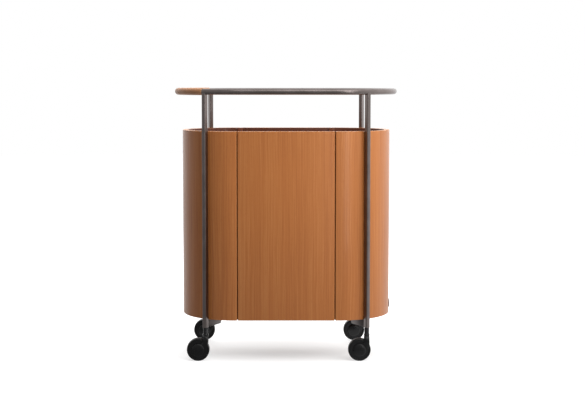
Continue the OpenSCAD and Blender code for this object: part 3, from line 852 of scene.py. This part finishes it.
@dataclass
class Tub:
    """The oval tub: two end shells, the rear panel, the boards inside and the bare plate on its right end."""

    plan: Plan
    edge: float = 1.5 * MM
    steps: int = 96
    plate_thick: float = 2.2 * MM
    plate_height: float = 24 * MM
    plate_width: float = 42 * MM
    plate_rise: float = 18 * MM
    plate_corner: float = 3 * MM
    rivet_r: float = 2.2 * MM
    rivet_rise: float = 0.9 * MM
    rivet_sunk: float = 0.3 * MM
    rivet_inset: float = 5 * MM
    cover_thick: float = 5 * MM
    cover_reach: float = 10 * MM
    cover_air: float = 0.2 * MM
    door_room: float = 2.6 * MM

    def build(self) -> None:
        """Builds and dresses the whole tub."""
        right = self.half_ring()
        left = copy_of(right, Matrix.Rotation(math.pi, 4, "Z"))
        for side, shell in (("right", right), ("left", left)):
            self.skin(shell)
            finish_piece(shell, f"tub_end_{side}", "trolley", "veneer", self.skins(), [f"shell_{side}"])
        panel = self.flat_panel("rear_panel")
        self.skin(panel)
        finish_piece(panel, "tub_rear_panel", "trolley", "veneer", self.skins(), ["rear_panel"])
        finish_piece(self.bare_plate(), "bare_end_plate", "trolley", "frame_metal", [PLATE_STEEL])
        for corner in Corner:
            finish_piece(self.gap_cover(corner), f"recess_gap_cover_{corner.tag}", "trolley", "inner_veneer",
                         [GAP_COVER_PAINTED_SHADE])
        dress_nodes(["floor_board", "deck", "shelf"], BOARD)
        dress_nodes([f"stile_{corner.tag}" for corner in Corner], STILE)
        dress_nodes(["shelf_pins"], ZINC)

    @staticmethod
    def skins() -> list[Finish]:
        """Materials of a wall piece: outside, inside darkened with painted shade, and edges whose lighter tone
        paints part of the rim's highlight.
        """
        return [OUTER_VENEER, INNER_VENEER_PAINTED_SHADE, LIPPING_AND_HIGHLIGHT]

    def half_ring(self) -> Object:
        """Bends a strip of the wall round the right end.

        Returns:
            The right end shell.
        """
        plan = self.plan
        middle = (plan.shell_x, -(plan.tub_r + plan.inside) / 2, (plan.foot_z + plan.rim_z) / 2)
        piece = add("plane", size=1, location=middle, rotation=(0, math.pi / 2, 0),
                    scale=(plan.rim_z - plan.foot_z, plan.tub_r - plan.inside, 1))
        flat = plan.end_x - plan.shell_x
        with editing(piece):
            extrude((flat, 0, 0))
            swing(math.pi, (plan.end_x, 0, 0), steps=self.steps)
            extrude((-flat, 0, 0))
            close_up()
        ease(piece, self.edge)
        return piece

    def flat_panel(self, node: str) -> Object:
        """Makes a flat panel of the wall with eased edges.

        Args:
            node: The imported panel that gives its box.

        Returns:
            The panel.
        """
        piece = block(*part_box(node))
        ease(piece, self.edge)
        return piece

    def skin(self, piece: Object) -> None:
        """Unrolls a wall piece for its grain and numbers its faces: 0 outside, 1 inside, 2 edges.

        Args:
            piece: The wall piece.
        """
        plan = self.plan
        map_surface(piece, "grain", lambda place: (plan.run(place), place.z))
        for _ in range(3):
            piece.data.materials.append(None)
        for face in piece.data.polygons:
            facing = face.normal.dot(plan.outward(face.center))
            face.material_index = 0 if facing > 0.7 else 1 if facing < -0.7 else 2

    def gap_cover(self, corner: Corner) -> Object:
        """Closes a panel's gap above the deck with a thin upright strip, which stays clear of the swinging door;
        its very dark veneer is painted shade, so that the gap reads as shadowed.

        Args:
            corner: The gap's corner.

        Returns:
            The strip, with its top eased.
        """
        side, back = corner.value
        inside, low_z, high_z = self.plan.inside, self.plan.deck_z, self.plan.rim_z - self.cover_air
        edge, out = self.plan.shell_x + self.cover_air, self.cover_reach

        def strip(near: float, far: float, front: float) -> Object:
            """Makes the strip's part between two places along the tub, with its face at a depth."""
            xs, ys = sorted((side * near, side * far)), sorted((back * front, back * (inside - self.cover_thick)))
            return block((xs[0], ys[0], low_z), (xs[1], ys[1], high_z))

        cover = strip(edge, edge + out, inside)
        cut(cover, strip(edge - out, edge + MM, inside - (self.door_room if back < 0 else 0.0)), "UNION")
        ease(cover, 0.6 * MM, 2)
        return cover

    def bare_plate(self) -> Object:
        """Bends a small plate round the right end and rivets it on.

        Returns:
            The plate with its two rivets.
        """
        plan = self.plan
        out = plan.tub_r + self.plate_thick / 2
        sweep = self.plate_width / plan.tub_r
        middle = (plan.end_x, 0, 0)
        height = plan.foot_z + self.plate_rise + self.plate_height / 2
        start = -sweep / 2
        place = Vector((plan.end_x + out * math.cos(start), out * math.sin(start), height))
        piece = add("plane", size=1, location=place, rotation=(math.pi / 2, 0, start),
                    scale=(self.plate_thick, self.plate_height, 1))
        with editing(piece):
            swing(sweep, middle, steps=10)
            close_up()
            ends = out * math.sin(sweep / 2) - 0.5 * MM
            pick(piece, Part.EDGE, lambda mid, along: abs(along.dot(plan.outward(mid))) > 0.9 and abs(mid.y) > ends)
            bpy.ops.mesh.bevel(offset=self.plate_corner, segments=4, affect="EDGES")
        ease(piece, 0.7 * MM, 2, 50)
        seat = plan.end_x + plan.tub_r + self.plate_thick - self.rivet_sunk
        profile = [(seat + rise, 0, height + radius) for radius, rise in dome(self.rivet_r, self.rivet_rise, 6)]
        rivet = lathe(profile, (plan.end_x, 0, height), (1, 0, 0), closed=False, steps=20)
        turn = sweep / 2 - self.rivet_inset / plan.tub_r
        there, back = Matrix.Translation(middle), Matrix.Translation(-Vector(middle))
        rivets = [copy_of(rivet, there @ Matrix.Rotation(side * turn, 4, "Z") @ back) for side in (-1, 1)]
        discard(rivet)
        return join([piece, *rivets])


@dataclass
class DoorFittings:
    """The front door with its hinge pockets, and the steel and plastic parts that hang and hold it."""

    tub: Tub
    leaf_thick: float = 2.5 * MM
    leaf_air: float = 0.2 * MM
    room: float = 0.3 * MM
    slot_reach: float = 5.0 * MM

    def build(self) -> None:
        """Builds the door and dresses the fittings."""
        door = self.tub.flat_panel("door")
        self.tub.skin(door)
        for level in ("lower", "upper"):
            for low, high in self.pockets(level):
                cut(door, block(low, high))
        finish_piece(door, "front_door_panel", "door", "veneer", self.tub.skins(), ["door"])
        leaves = [f"hinge_leaf_{side}_{level}" for side in ("tub", "door") for level in ("lower", "upper")]
        dress_nodes([*leaves, "hinge_pins", "hinge_screws_tub", "hinge_screws_door", "strike_plate"], ZINC)
        dress_nodes(["magnetic_catch"], NYLON)

    def pockets(self, level: str) -> list[tuple[Vector, Vector]]:
        """Boxes that clear a knife hinge in the door's edge.

        Args:
            level: "lower" or "upper".

        Returns:
            The slot of the door's leaf, and the corner that the tub's leaf swings through.
        """
        low, high = corners_of("door")
        leaf_low, leaf_high = corners_of(f"hinge_leaf_door_{level}")
        plate_low, plate_high = corners_of(f"hinge_leaf_tub_{level}")
        pivot = Vector(next(joint for joint in frame["joints"] if joint["name"] == "door_hinge")["pos_m"])
        near, far = pivot.y - self.slot_reach, high.y + MM
        left = low.x - MM
        if level == "lower":
            slot = leaf_low.z - self.leaf_air, leaf_low.z + self.leaf_thick + self.leaf_air
            corner = plate_low.z - self.room, plate_low.z + 2 * self.leaf_thick + self.room
        else:
            slot = leaf_high.z - self.leaf_thick - self.leaf_air, leaf_high.z + self.leaf_air
            corner = plate_high.z - 2 * self.leaf_thick - self.room, plate_high.z + self.room
        return [
            (Vector((left, near, slot[0])), Vector((leaf_high.x + self.room, far, slot[1]))),
            (Vector((left, near, corner[0])), Vector((pivot.x + self.slot_reach, far + MM, corner[1]))),
        ]


@dataclass
class PushRail:
    """The oval rail on its four posts, with the leather grip round its left end."""

    plan: Plan
    post_depth: float = 19 * MM
    post_width: float = 13 * MM
    post_wall: float = 1.5 * MM
    post_round: float = 2.8 * MM
    foot_round: float = 0.8 * MM
    plug: float = 40 * MM
    saddle_gap: float = 0.05 * MM
    hide: float = 1.5 * MM
    hide_gap: float = 0.06 * MM
    hide_end: float = 0.3 * MM
    stitch_half: tuple[float, float, float] = (0.45 * MM, 3 * MM, 0.4 * MM)
    stitch_pitch: float = 5 * MM
    stitch_slant: float = 30.0
    seam_lean: float = 225.0

    def build(self) -> None:
        """Builds and dresses the rail, the posts and the grip."""
        finish_piece(self.ring(self.plan.tube_r), "push_rail_tube", "trolley", "frame_metal", [TUBE], ["rail_tube"])
        post = self.post()
        for corner in Corner:
            piece = copy_of(post, self.plan.at_post(corner))
            cut(piece, self.ring(self.plan.tube_r + self.saddle_gap))
            finish_piece(piece, f"post_tube_{corner.tag}", "trolley", "frame_metal", [TUBE],
                         [f"post_{corner.tag}"])
        discard(post)
        dress_nodes([f"socket_{corner.tag}" for corner in Corner], NYLON)
        finish_piece(self.grip(), "leather_grip_wrap", "trolley", "leather", [LEATHER, LEATHER_EDGE], ["grip_wrap"])
        finish_piece(self.stitches(), "grip_stitches", "trolley", "leather", [THREAD])

    def ring(self, radius: float) -> Object:
        """Bends a tube to the rail's oval.

        Args:
            radius: Outside radius of the tube.

        Returns:
            The closed ring.
        """
        plan = self.plan
        right, left = (plan.end_x, 0, plan.rail_z), (-plan.end_x, 0, plan.rail_z)
        piece = hoop(radius, right, plan.rail_r, -math.pi / 2)
        with editing(piece):
            swing(math.pi, right, steps=64)
            extrude((-2 * plan.end_x, 0, 0))
            swing(math.pi, left, steps=64)
            extrude((2 * plan.end_x, 0, 0))
            close_up()
        return piece

    def post(self) -> Object:
        """Draws a rounded rectangular tube, upright at the origin, with its depth along X and an open foot.

        Returns:
            The post, not yet cut to the rail.
        """
        plan = self.plan
        piece = add("plane", size=1, location=(0, 0, plan.post_bottom),
                    scale=(self.post_depth, self.post_width, 1))
        with editing(piece):
            bpy.ops.mesh.bevel(offset=self.post_round, segments=5, affect="VERTICES")
            bpy.ops.mesh.select_all(action="SELECT")
            extrude((0, 0, plan.rail_z - plan.post_bottom))
            close_up()
            pick(piece, Part.FACE, lambda mid, normal: normal.z < -0.9)
            bpy.ops.mesh.inset(thickness=self.post_wall)
            extrude((0, 0, self.plug))
        ease(piece, self.foot_round, 2, 50)
        return piece

    def grip_half(self) -> float:
        """Half the angle that the leather covers, from post to post."""
        clear = self.post_width / 2 + self.hide_end
        return self.plan.post_angle() - math.asin(clear / self.plan.rail_r)

    def grip(self) -> Object:
        """Wraps the hide round the left end of the rail.

        Returns:
            The sleeve, with its cut edges as its second material.
        """
        plan = self.plan
        middle = Vector((-plan.end_x, 0, plan.rail_z))
        half = self.grip_half()
        outside = plan.tube_r + self.hide
        piece = hoop(outside, middle, plan.rail_r, math.pi - half, 40)
        with editing(piece):
            swing(2 * half, middle, steps=72)
            close_up()
        for _ in range(2):
            piece.data.materials.append(None)
        modify(piece, "SOLIDIFY", thickness=self.hide - self.hide_gap, offset=-1, material_offset_rim=1)
        ease(piece, 0.4 * MM, 2, 50)

        def flat(place: Vector) -> tuple[float, float]:
            """Length along the rail and round the tube."""
            spoke = Vector((place.x - middle.x, place.y, 0.0))
            return (plan.rail_r * math.atan2(spoke.y, -spoke.x),
                    outside * math.atan2(place.z - middle.z, spoke.length - plan.rail_r))

        map_surface(piece, "hide", flat)
        return piece

    def stitches(self) -> Object:
        """Sews the seam on the rail's inner underside.

        Returns:
            All stitches as one piece.
        """
        plan = self.plan
        half = self.grip_half() - 4 * MM / plan.rail_r
        lift = plan.tube_r + self.hide + 0.1 * MM
        stitch = block([-reach for reach in self.stitch_half], self.stitch_half)
        with editing(stitch):
            bpy.ops.mesh.bevel(offset=0.25 * MM, segments=1, affect="EDGES")
        # From the rail's centre line, each stitch leans inwards and down, and lies flat on the hide.
        on_hide = (Matrix.Translation((plan.rail_r, 0, 0)) @ Matrix.Rotation(-math.radians(self.seam_lean), 4, "Y")
                   @ Matrix.Translation((lift, 0, 0)) @ Matrix.Rotation(math.pi / 2, 4, "Y"))
        count = int(2 * half * plan.rail_r / self.stitch_pitch)
        row = []
        for number in range(count + 1):
            turn = math.pi - half + 2 * half * number / count
            slant = math.radians(self.stitch_slant if number % 2 else -self.stitch_slant)
            on_rail = Matrix.Translation((-plan.end_x, 0, plan.rail_z)) @ Matrix.Rotation(turn, 4, "Z")
            row.append(copy_of(stitch, on_rail @ on_hide @ Matrix.Rotation(math.pi / 2 + slant, 4, "Z")))
        discard(stitch)
        return join(row)


@dataclass
class UnderFrame:
    """The four radial brackets under the tub and the screws of their flanges."""

    plan: Plan
    rail: PushRail
    web_len: float = 88 * MM
    web_slant: float = 11 * MM
    web_thick: float = 5 * MM
    flange_start: float = 37 * MM
    flange_width: float = 40 * MM
    flange_thick: float = 3 * MM
    head_r: float = 4 * MM
    head_height: float = 2 * MM
    head_rim: float = 0.6 * MM
    cross_reach: float = 2.2 * MM
    cross_half: float = 0.45 * MM
    cross_depth: float = 1.1 * MM
    screws: tuple[tuple[float, float], ...] = ((48 * MM, 12 * MM), (77 * MM, -12 * MM))

    def build(self) -> None:
        """Builds one bracket and one screw, and copies them to the corners."""
        bracket, screw = self.bracket(), self.screw()
        heads = []
        for corner in Corner:
            place = self.plan.at_post(corner)
            finish_piece(copy_of(bracket, place), f"bracket_plate_{corner.tag}", "trolley", "frame_metal",
                         [BRACKET_STEEL_PAINTED_SHADE], [f"bracket_{corner.tag}"])
            for along, across in self.screws:
                heads.append(copy_of(screw, place @ Matrix.Translation((along, across, 0))))
        discard(bracket, screw)
        finish_piece(join(heads), "bracket_screw_heads", "trolley", "bright_steel", [ZINC], ["bracket_screws"])

    def bracket(self) -> Object:
        """Welds a slanted web to a flange with rounded corners.

        Returns:
            One bracket, from a post at the origin along +X.
        """
        foot, top = self.plan.post_bottom, self.plan.foot_z
        start, tip = self.rail.post_depth / 2, self.web_len + self.web_slant
        web = block((start, -self.web_thick / 2, foot), (tip, self.web_thick / 2, top))
        with editing(web):
            pick(web, Part.EDGE, lambda mid, along: mid.x > tip - MM and mid.z < foot + MM)
            bpy.ops.transform.translate(value=(-self.web_slant, 0, 0))
        flange = block((self.flange_start, -self.flange_width / 2, top - self.flange_thick),
                       (self.web_len, self.flange_width / 2, top))
        with editing(flange):
            pick(flange, Part.EDGE, lambda mid, along: abs(along.z) > 0.9)
            bpy.ops.mesh.bevel(offset=4 * MM, segments=5, affect="EDGES")
        cut(web, flange, "UNION")
        ease(web, 0.5 * MM, 2, 45)
        return web

    def screw(self) -> Object:
        """Turns a pan head and cuts its cross.

        Returns:
            One screw head under the origin's flange.
        """
        seat = self.plan.foot_z - self.flange_thick
        pan = [(radius, seat - self.head_rim - rise)
               for radius, rise in dome(self.head_r, self.head_height - self.head_rim, 6)]
        head = turn_upright([(0, seat), (self.head_r, seat), *pan], 32)
        low, reach, half = seat - self.head_height, self.cross_reach, self.cross_half
        for length, width in ((reach, half), (half, reach)):
            cut(head, block((-length, -width, low - MM), (length, width, low + self.cross_depth)))
        return head


@dataclass
class Caster:
    """A swivel caster: fork with two cheeks, domed hub caps, wheel and tyre, built once and copied."""

    plan: Plan
    wheel_r: float = 37.5 * MM
    trail: float = 24.5 * MM
    arm_half: float = 8.5 * MM
    cheek_in: float = 14.8 * MM
    cheek_thick: float = 4 * MM
    cheek_edge: float = 2.4 * MM
    crown_steps: tuple[tuple[float, float], ...] = ((2.6 * MM, 1.1 * MM), (2.8 * MM, 0.5 * MM))
    disc_r: float = 21 * MM
    shoulder_drop: float = 9 * MM
    neck_r: float = 8 * MM
    neck_height: float = 22 * MM
    bore_r: float = 4.1 * MM
    bore_depth: float = 3 * MM
    cap_rise: float = 4 * MM
    cap_edge: float = 1.2 * MM
    tyre_half: float = 14 * MM
    core_r: float = 32 * MM
    hub_r: float = 9 * MM

    def build(self) -> None:
        """Builds the four parts of one caster and copies them to the corners."""
        parts = (
            (self.fork(), "fork_moulding", "caster", "black_plastic", NYLON, "fork", 50),
            (self.caps(), "hub_domes", "caster", "black_plastic", NYLON_CAP, "hub_caps", 35),
            (self.core(), "wheel_core", "wheel", "black_plastic", WHEEL_NYLON, "wheel", 35),
            (self.tyre(), "tyre_tread", "wheel", "tyre", ELASTOMER, "tyre", 35),
        )
        for corner in Corner:
            tag, place = corner.tag, Matrix.Translation(self.plan.posts[corner])
            for pattern, name, body, slot, finish, node, crease in parts:
                finish_piece(copy_of(pattern, place), f"{name}_{tag}", f"{body}_{tag}", slot, [finish],
                             [f"{node}_{tag}"], crease)
            dress_nodes([f"stem_{tag}", f"axle_{tag}"], ZINC)
        discard(*(pattern for pattern, *_ in parts))

    @property
    def crown_z(self) -> float:
        """Height of the middle of the fork's arch."""
        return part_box("fork_front_left")[1][2] - self.neck_height - self.cheek_in - self.cheek_thick

    def outline(self) -> list[tuple[float, float]]:
        """Side view of a cheek: a disc round the axle and an arm that sweeps into it.

        Returns:
            Its points in X and Z, from the arm's inner edge at the crown, clockwise.
        """
        half, disc, crown = self.arm_half, self.disc_r, self.crown_z
        shoulder = crown - self.shoulder_drop
        axle = Vector((-self.trail, self.wheel_r))

        def touching(reach: float, height: float, side: int) -> float:
            """Radius of the arc that touches an upright edge and the disc."""
            return (reach * reach + height * height - disc * disc) / (2 * (reach + side * disc))

        outer_r = touching(self.trail + half, shoulder - self.wheel_r, -1)
        inner_r = touching(self.trail - half, crown - self.wheel_r, 1)
        outer = Vector((half - outer_r, shoulder))
        inner = Vector((-half - inner_r, crown))
        low, high = axle - outer, inner - axle
        leave = math.degrees(math.atan2(low.y, low.x))
        meet = math.degrees(math.atan2(high.y, high.x))
        points = [(-half, crown), (half, crown)]
        points += arc(outer, outer_r, 0, leave, 10)
        points += arc(axle, disc, leave, meet - 360, 40)[1:]
        points += arc(inner, inner_r, meet - 180, 0, 8)[1:-1]
        return points

    def cheek(self) -> Object:
        """Makes the cheek on the +Y side, crowned on its outer face and open at the crown.

        Returns:
            The cheek.
        """
        crown = self.crown_z
        piece = wire([(x, self.cheek_in, z) for x, z in self.outline()])
        with editing(piece):
            bpy.ops.mesh.edge_face_add()
            extrude((0, self.cheek_edge, 0))
            close_up()
            pick(piece, Part.FACE, lambda mid, normal: normal.y > 0.9)
            for wide, high in self.crown_steps:
                bpy.ops.mesh.inset(thickness=wide, depth=high)
            # The crowned face runs on into the arch, so its steps at the top go up to the crown.
            grid = bmesh.from_edit_mesh(piece.data)
            for corner in grid.verts:
                wide, drop = self.arm_half - abs(corner.co.x), crown - corner.co.z
                on_step = wide > MM and 0 < drop < 6 * MM and abs(wide - drop) < 1.5 * MM
                if on_step and corner.co.y > self.cheek_in + MM:
                    corner.co.z = crown
            bmesh.update_edit_mesh(piece.data)
            pick(piece, Part.FACE, lambda mid, normal: mid.z > crown - 0.01 * MM)
            bpy.ops.mesh.delete(type="FACE")
        return piece

    def fork(self) -> Object:
        """Joins the two cheeks by an arch and sets the neck on it.

        Returns:
            The fork, with its swivel axis on Z.
        """
        crown, inside = self.crown_z, self.cheek_in
        near = self.cheek()
        far = copy_of(near, Matrix.Scale(-1, 4, (0, 1, 0)))
        # The arch carries the cheeks' crowned section over the wheel.
        flank = [(self.arm_half, 0.0), (self.arm_half, self.cheek_edge)]
        for wide, high in self.crown_steps:
            flank += [(flank[-1][0] - wide, flank[-1][1] + high)]
        section = [(-x, rise) for x, rise in flank] + flank[::-1]
        arch = wire([(x, inside + rise, crown) for x, rise in section])
        with editing(arch):
            swing(math.pi, (0, 0, crown), (1, 0, 0), 24)
        body = join([near, far, arch])
        with editing(body):
            bpy.ops.mesh.remove_doubles(threshold=0.05 * MM)
            bpy.ops.mesh.normals_make_consistent(inside=False)
        ease(body, 0.5 * MM, 2, 60)
        # The neck flares into the arch and has a rounded rim: millimetres past its radius and its two ends.
        root = crown + inside + self.cheek_thick
        rim = root + self.neck_height
        flare, lip = ((2, -2.5), (1.5, 0.6), (0.4, 1.6), (0, 3.2)), ((0, -0.8), (-0.3, -0.2), (-0.8, 0))
        neck = [(self.neck_r + out * MM, end + up * MM)
                for end, edge in ((root, flare), (rim, lip)) for out, up in edge]
        bore = [(self.bore_r, rim), (self.bore_r, rim - self.bore_depth), (0, rim - self.bore_depth)]
        return join([body, turn_upright([(0, neck[0][1]), *neck, *bore], 48)])

    def on_axle(self, profile: Sequence[tuple[float, float]], closed: bool, steps: int) -> Object:
        """Turns a profile round the wheel's axle.

        Args:
            profile: Points as the distance along the axle and the radius.
            closed: Whether the profile comes back to its start.
            steps: Number of steps round.

        Returns:
            The turned piece.
        """
        centre = (-self.trail, 0, self.wheel_r)
        points = [(centre[0], along, centre[2] + radius) for along, radius in profile]
        return lathe(points, centre, (0, 1, 0), closed, steps)

    def caps(self) -> Object:
        """Turns the two domed hub caps.

        Returns:
            Both caps.
        """
        face = self.cheek_in + self.cheek_thick
        rim = self.disc_r - 0.5 * MM
        top = [(face + self.cap_edge + rise, radius)
               for radius, rise in reversed(dome(rim - 0.7 * MM, self.cap_rise - self.cap_edge, 10))]
        profile = [*top, (face + 0.9 * MM, rim - 0.25 * MM), (face + 0.4 * MM, rim), (self.cheek_in + 2 * MM, rim),
                   (self.cheek_in + 2 * MM, 0)]
        near = self.on_axle(profile, False, 72)
        far = copy_of(near, Matrix.Scale(-1, 4, (0, 1, 0)))
        both = join([near, far])
        with editing(both):
            bpy.ops.mesh.normals_make_consistent(inside=False)
        return both

    def core(self) -> Object:
        """Turns the wheel's nylon core with a groove in each face.

        Returns:
            The core.
        """
        # Hub, hollow and flat face with a groove near the tyre: millimetres below the face, then radii.
        half, hub = self.tyre_half / MM - 1.5, self.hub_r / MM
        hub_drop = (self.tyre_half - self.cheek_in) / MM - 1.2
        side = [(hub_drop, self.bore_r / MM), (hub_drop, hub), (0.8, hub + 1.2), (0, 12), (0, 28.6), (0.3, 28.9),
                (1, 29.1), (1, 30.4), (0.3, 30.6), (0, 30.9), (0, self.core_r / MM)]
        near = [((half - drop) * MM, radius * MM) for drop, radius in side]
        far = [(-along, radius) for along, radius in reversed(near)]
        return self.on_axle([*near, *far], True, 96)

    def tyre(self) -> Object:
        """Turns the tyre, with rounded shoulders and a slightly crowned tread.

        Returns:
            The tyre.
        """
        inner = self.core_r + 0.05 * MM
        half, outer = self.tyre_half, self.wheel_r
        shoulder = arc((half - 4.2 * MM, outer - 4.4 * MM), 4.2 * MM, 0, 80, 7)
        near = [(half - 0.6 * MM, inner), (half, inner + 0.8 * MM), *shoulder, (5 * MM, outer - 0.05 * MM)]
        far = [(-along, radius) for along, radius in reversed(near)]
        return self.on_axle([*near, (0, outer), *far], True, 96)


# ---------------------------------------------------------------- studio


@dataclass
class Studio:
    """Camera, soft lamps, white surroundings and the pale floor."""

    lens: float = 79.771
    sensor: float = 36.0
    pitch: float = 4.0
    eye: tuple[float, float, float] = (-0.0063, -4.422, 0.925)
    shift: tuple[float, float] = (0.0141, -0.06312)
    aim: tuple[float, float, float] = (0, 0, 0.45)
    ambient: float = 0.14
    bright_way: tuple[float, float, float] = (0.5, 0.866, 0.0)
    dim_side: float = -0.6
    wall_glow: tuple[float, float] = (0.54, 1.60)
    floor_glow: tuple[float, float] = (0.34, 1.25)
    floor_tone: float = 0.45
    shade_reach: tuple[float, float] = (0.03, 0.38)
    shade_lift: float = 0.48

    def build(self) -> None:
        """Sets up the whole studio."""
        view = bpy.context.scene.view_settings
        view.view_transform = "Standard"
        self.camera()
        self.surroundings()
        self.floor()
        # A share of 1 lights a face turned to the lamp so that its colour renders as written.
        self.lamp("key", azimuth=60, elevation=27, distance=3.4, size=(2.8, 2.4), share=0.76, mirrored=False)
        self.lamp("strip", azimuth=28, elevation=16, distance=1.7, size=(0.26, 1.8), share=0.22)
        self.lamp("front_top", azimuth=22, elevation=50, distance=3.0, size=(2.2, 1.4), share=0.24)
        self.lamp("top", azimuth=180, elevation=89, distance=2.4, size=(2.0, 2.0), share=0.85, mirrored=False)
        self.lamp("back", azimuth=180, elevation=30, distance=3.0, size=(2.4, 1.2), share=0.70, mirrored=False)

    def camera(self) -> None:
        """Stands the camera where the photograph was taken from."""
        data = bpy.data.cameras.new("camera")
        data.lens, data.sensor_width = self.lens, self.sensor
        data.shift_x, data.shift_y = self.shift
        camera = bpy.data.objects.new("camera", data)
        camera.location = self.eye
        camera.rotation_euler = (math.radians(90 - self.pitch), 0, 0)
        bpy.context.scene.collection.objects.link(camera)
        bpy.context.scene.camera = camera

    def lamp(self, name: str, azimuth: float, elevation: float, distance: float, size: tuple[float, float],
             share: float, mirrored: bool = True) -> None:
        """Adds a soft box that faces the middle of the trolley.

        Args:
            name: The lamp's name.
            azimuth: Its bearing in degrees, 0 in front and 90 at the trolley's right.
            elevation: Its height in degrees.
            distance: How far it stands from the middle.
            size: Width and height of the soft box.
            share: Its part of the full light on a face turned to it.
            mirrored: Whether gloss shows the soft box itself.
        """
        data = bpy.data.lights.new(name, "AREA")
        data.shape = "RECTANGLE"
        data.size, data.size_y = size
        data.energy = share * math.pi ** 2 * distance ** 2
        lamp = bpy.data.objects.new(name, data)
        turn, rise = math.radians(azimuth), math.radians(elevation)
        way = Vector((math.sin(turn) * math.cos(rise), -math.cos(turn) * math.cos(rise), math.sin(rise)))
        lamp.location = Vector(self.aim) + way * distance
        lamp.rotation_euler = way.to_track_quat("Z", "Y").to_euler()
        lamp.visible_camera = False
        lamp.visible_glossy = mirrored
        bpy.context.scene.collection.objects.link(lamp)

    def room_glow(self, tree: bpy.types.NodeTree, way: bpy.types.NodeSocket, full: float,
                  levels: tuple[float, float]) -> bpy.types.NodeSocket:
        """Level that gloss mirrors: the room brightens from its dim front left to its bright back right.

        Args:
            tree: The node tree.
            way: Direction in the room.
            full: How far the direction goes the bright way where the level is highest.
            levels: Lowest and highest level.

        Returns:
            The level's socket.
        """
        turned = add_node(tree, "VectorMath", {0: way, 1: self.bright_way}, operation="DOT_PRODUCT")
        level = add_node(tree, "MapRange", {"Value": turned.outputs["Value"], "From Min": self.dim_side,
                                            "From Max": full, "To Min": levels[0], "To Max": levels[1]})
        return level.outputs["Result"]

    def surroundings(self) -> None:
        """White walls for the camera and a shaded room for gloss, over a weak ambient."""
        world = bpy.data.worlds.new("white_studio")
        bpy.context.scene.world = world
        world.use_nodes = True
        world.cycles.sampling_method = "NONE"
        tree = world.node_tree
        tree.nodes.clear()
        path = add_node(tree, "LightPath").outputs
        walls = self.room_glow(tree, add_node(tree, "TexCoord").outputs["Generated"], 0.5, self.wall_glow)
        mirrored = add_node(tree, "Math", {0: path["Is Glossy Ray"], 1: path["Is Transmission Ray"]},
                            operation="MAXIMUM")
        seen = add_node(tree, "Mix", {"Factor": mirrored.outputs["Value"], "A": self.ambient, "B": walls})
        level = add_node(tree, "Mix", {"Factor": path["Is Camera Ray"], "A": seen.outputs[0], "B": 1.0})
        glow = add_node(tree, "Background", {"Color": (1, 1, 1, 1), "Strength": level.outputs[0]})
        add_node(tree, "OutputWorld", {"Surface": glow.outputs["Background"]})

    def floor(self) -> None:
        """Lays a pale floor that keeps the trolley's cast shadow, dims its glow in an oval under the trolley as
        painted shadow, and turns white away from it.
        """
        floor = add("circle", vertices=64, radius=12, fill_type="NGON", location=(0, 0, -0.2 * MM))
        floor.name = "studio_floor"
        material = bpy.data.materials.new("pale_studio_floor")
        material.use_nodes = True
        tree = material.node_tree
        tree.nodes.clear()
        path = add_node(tree, "LightPath").outputs
        place = add_node(tree, "TexCoord").outputs["Object"]
        # The painted shadow is an oval along the trolley with its middle 75 mm towards the front: there the glow
        # dims and the lamps' cast shadow shows, and the oval's fade shapes that shadow.
        oval = add_node(tree, "Mapping", {"Vector": place, "Location": (0, 0.075, 0), "Scale": (0.45, 1, 1)})
        reach = add_node(tree, "VectorMath", {0: oval.outputs["Vector"]}, operation="LENGTH")
        near, far = self.shade_reach
        lift = add_node(tree, "MapRange", {"Value": reach.outputs["Value"], "From Min": near, "From Max": far,
                                           "To Min": self.shade_lift, "To Max": 1.0})
        strength = add_node(tree, "Math", {0: path["Is Camera Ray"], 1: lift.outputs["Result"]},
                            operation="MULTIPLY")
        matt = add_node(tree, "BsdfDiffuse", {"Color": (*[self.floor_tone] * 3, 1)})
        glow = add_node(tree, "Emission", {"Color": (1, 1, 1, 1), "Strength": strength.outputs["Value"]})
        lit = add_node(tree, "AddShader", {0: matt.outputs["BSDF"], 1: glow.outputs["Emission"]})
        # Gloss mirrors a floor that is shaded as the walls are.
        way = add_node(tree, "VectorMath", {0: place}, operation="NORMALIZE").outputs["Vector"]
        level = self.room_glow(tree, way, 0.3, self.floor_glow)
        grey = add_node(tree, "Emission", {"Color": (1, 1, 1, 1), "Strength": level})
        both = add_node(tree, "MixShader", {0: path["Is Glossy Ray"], 1: lit.outputs["Shader"],
                                            2: grey.outputs["Emission"]})
        clear = add_node(tree, "BsdfTransparent")
        # Seen from below, the floor lets the view through.
        back = add_node(tree, "NewGeometry").outputs["Backfacing"]
        sided = add_node(tree, "MixShader", {0: back, 1: both.outputs["Shader"], 2: clear.outputs["BSDF"]})
        add_node(tree, "OutputMaterial", {"Surface": sided.outputs["Shader"]})
        floor.data.materials.append(material)


def main() -> None:
    """Builds the studio and the trolley's sub-assemblies in order."""
    logging.basicConfig(level=logging.INFO, format="%(name)s: %(message)s")
    plan = Plan.read()
    Studio().build()
    tub = Tub(plan)
    tub.build()
    DoorFittings(tub).build()
    rail = PushRail(plan)
    rail.build()
    UnderFrame(plan, rail).build()
    Caster(plan).build()


if __name__ == "__main__":
    main()
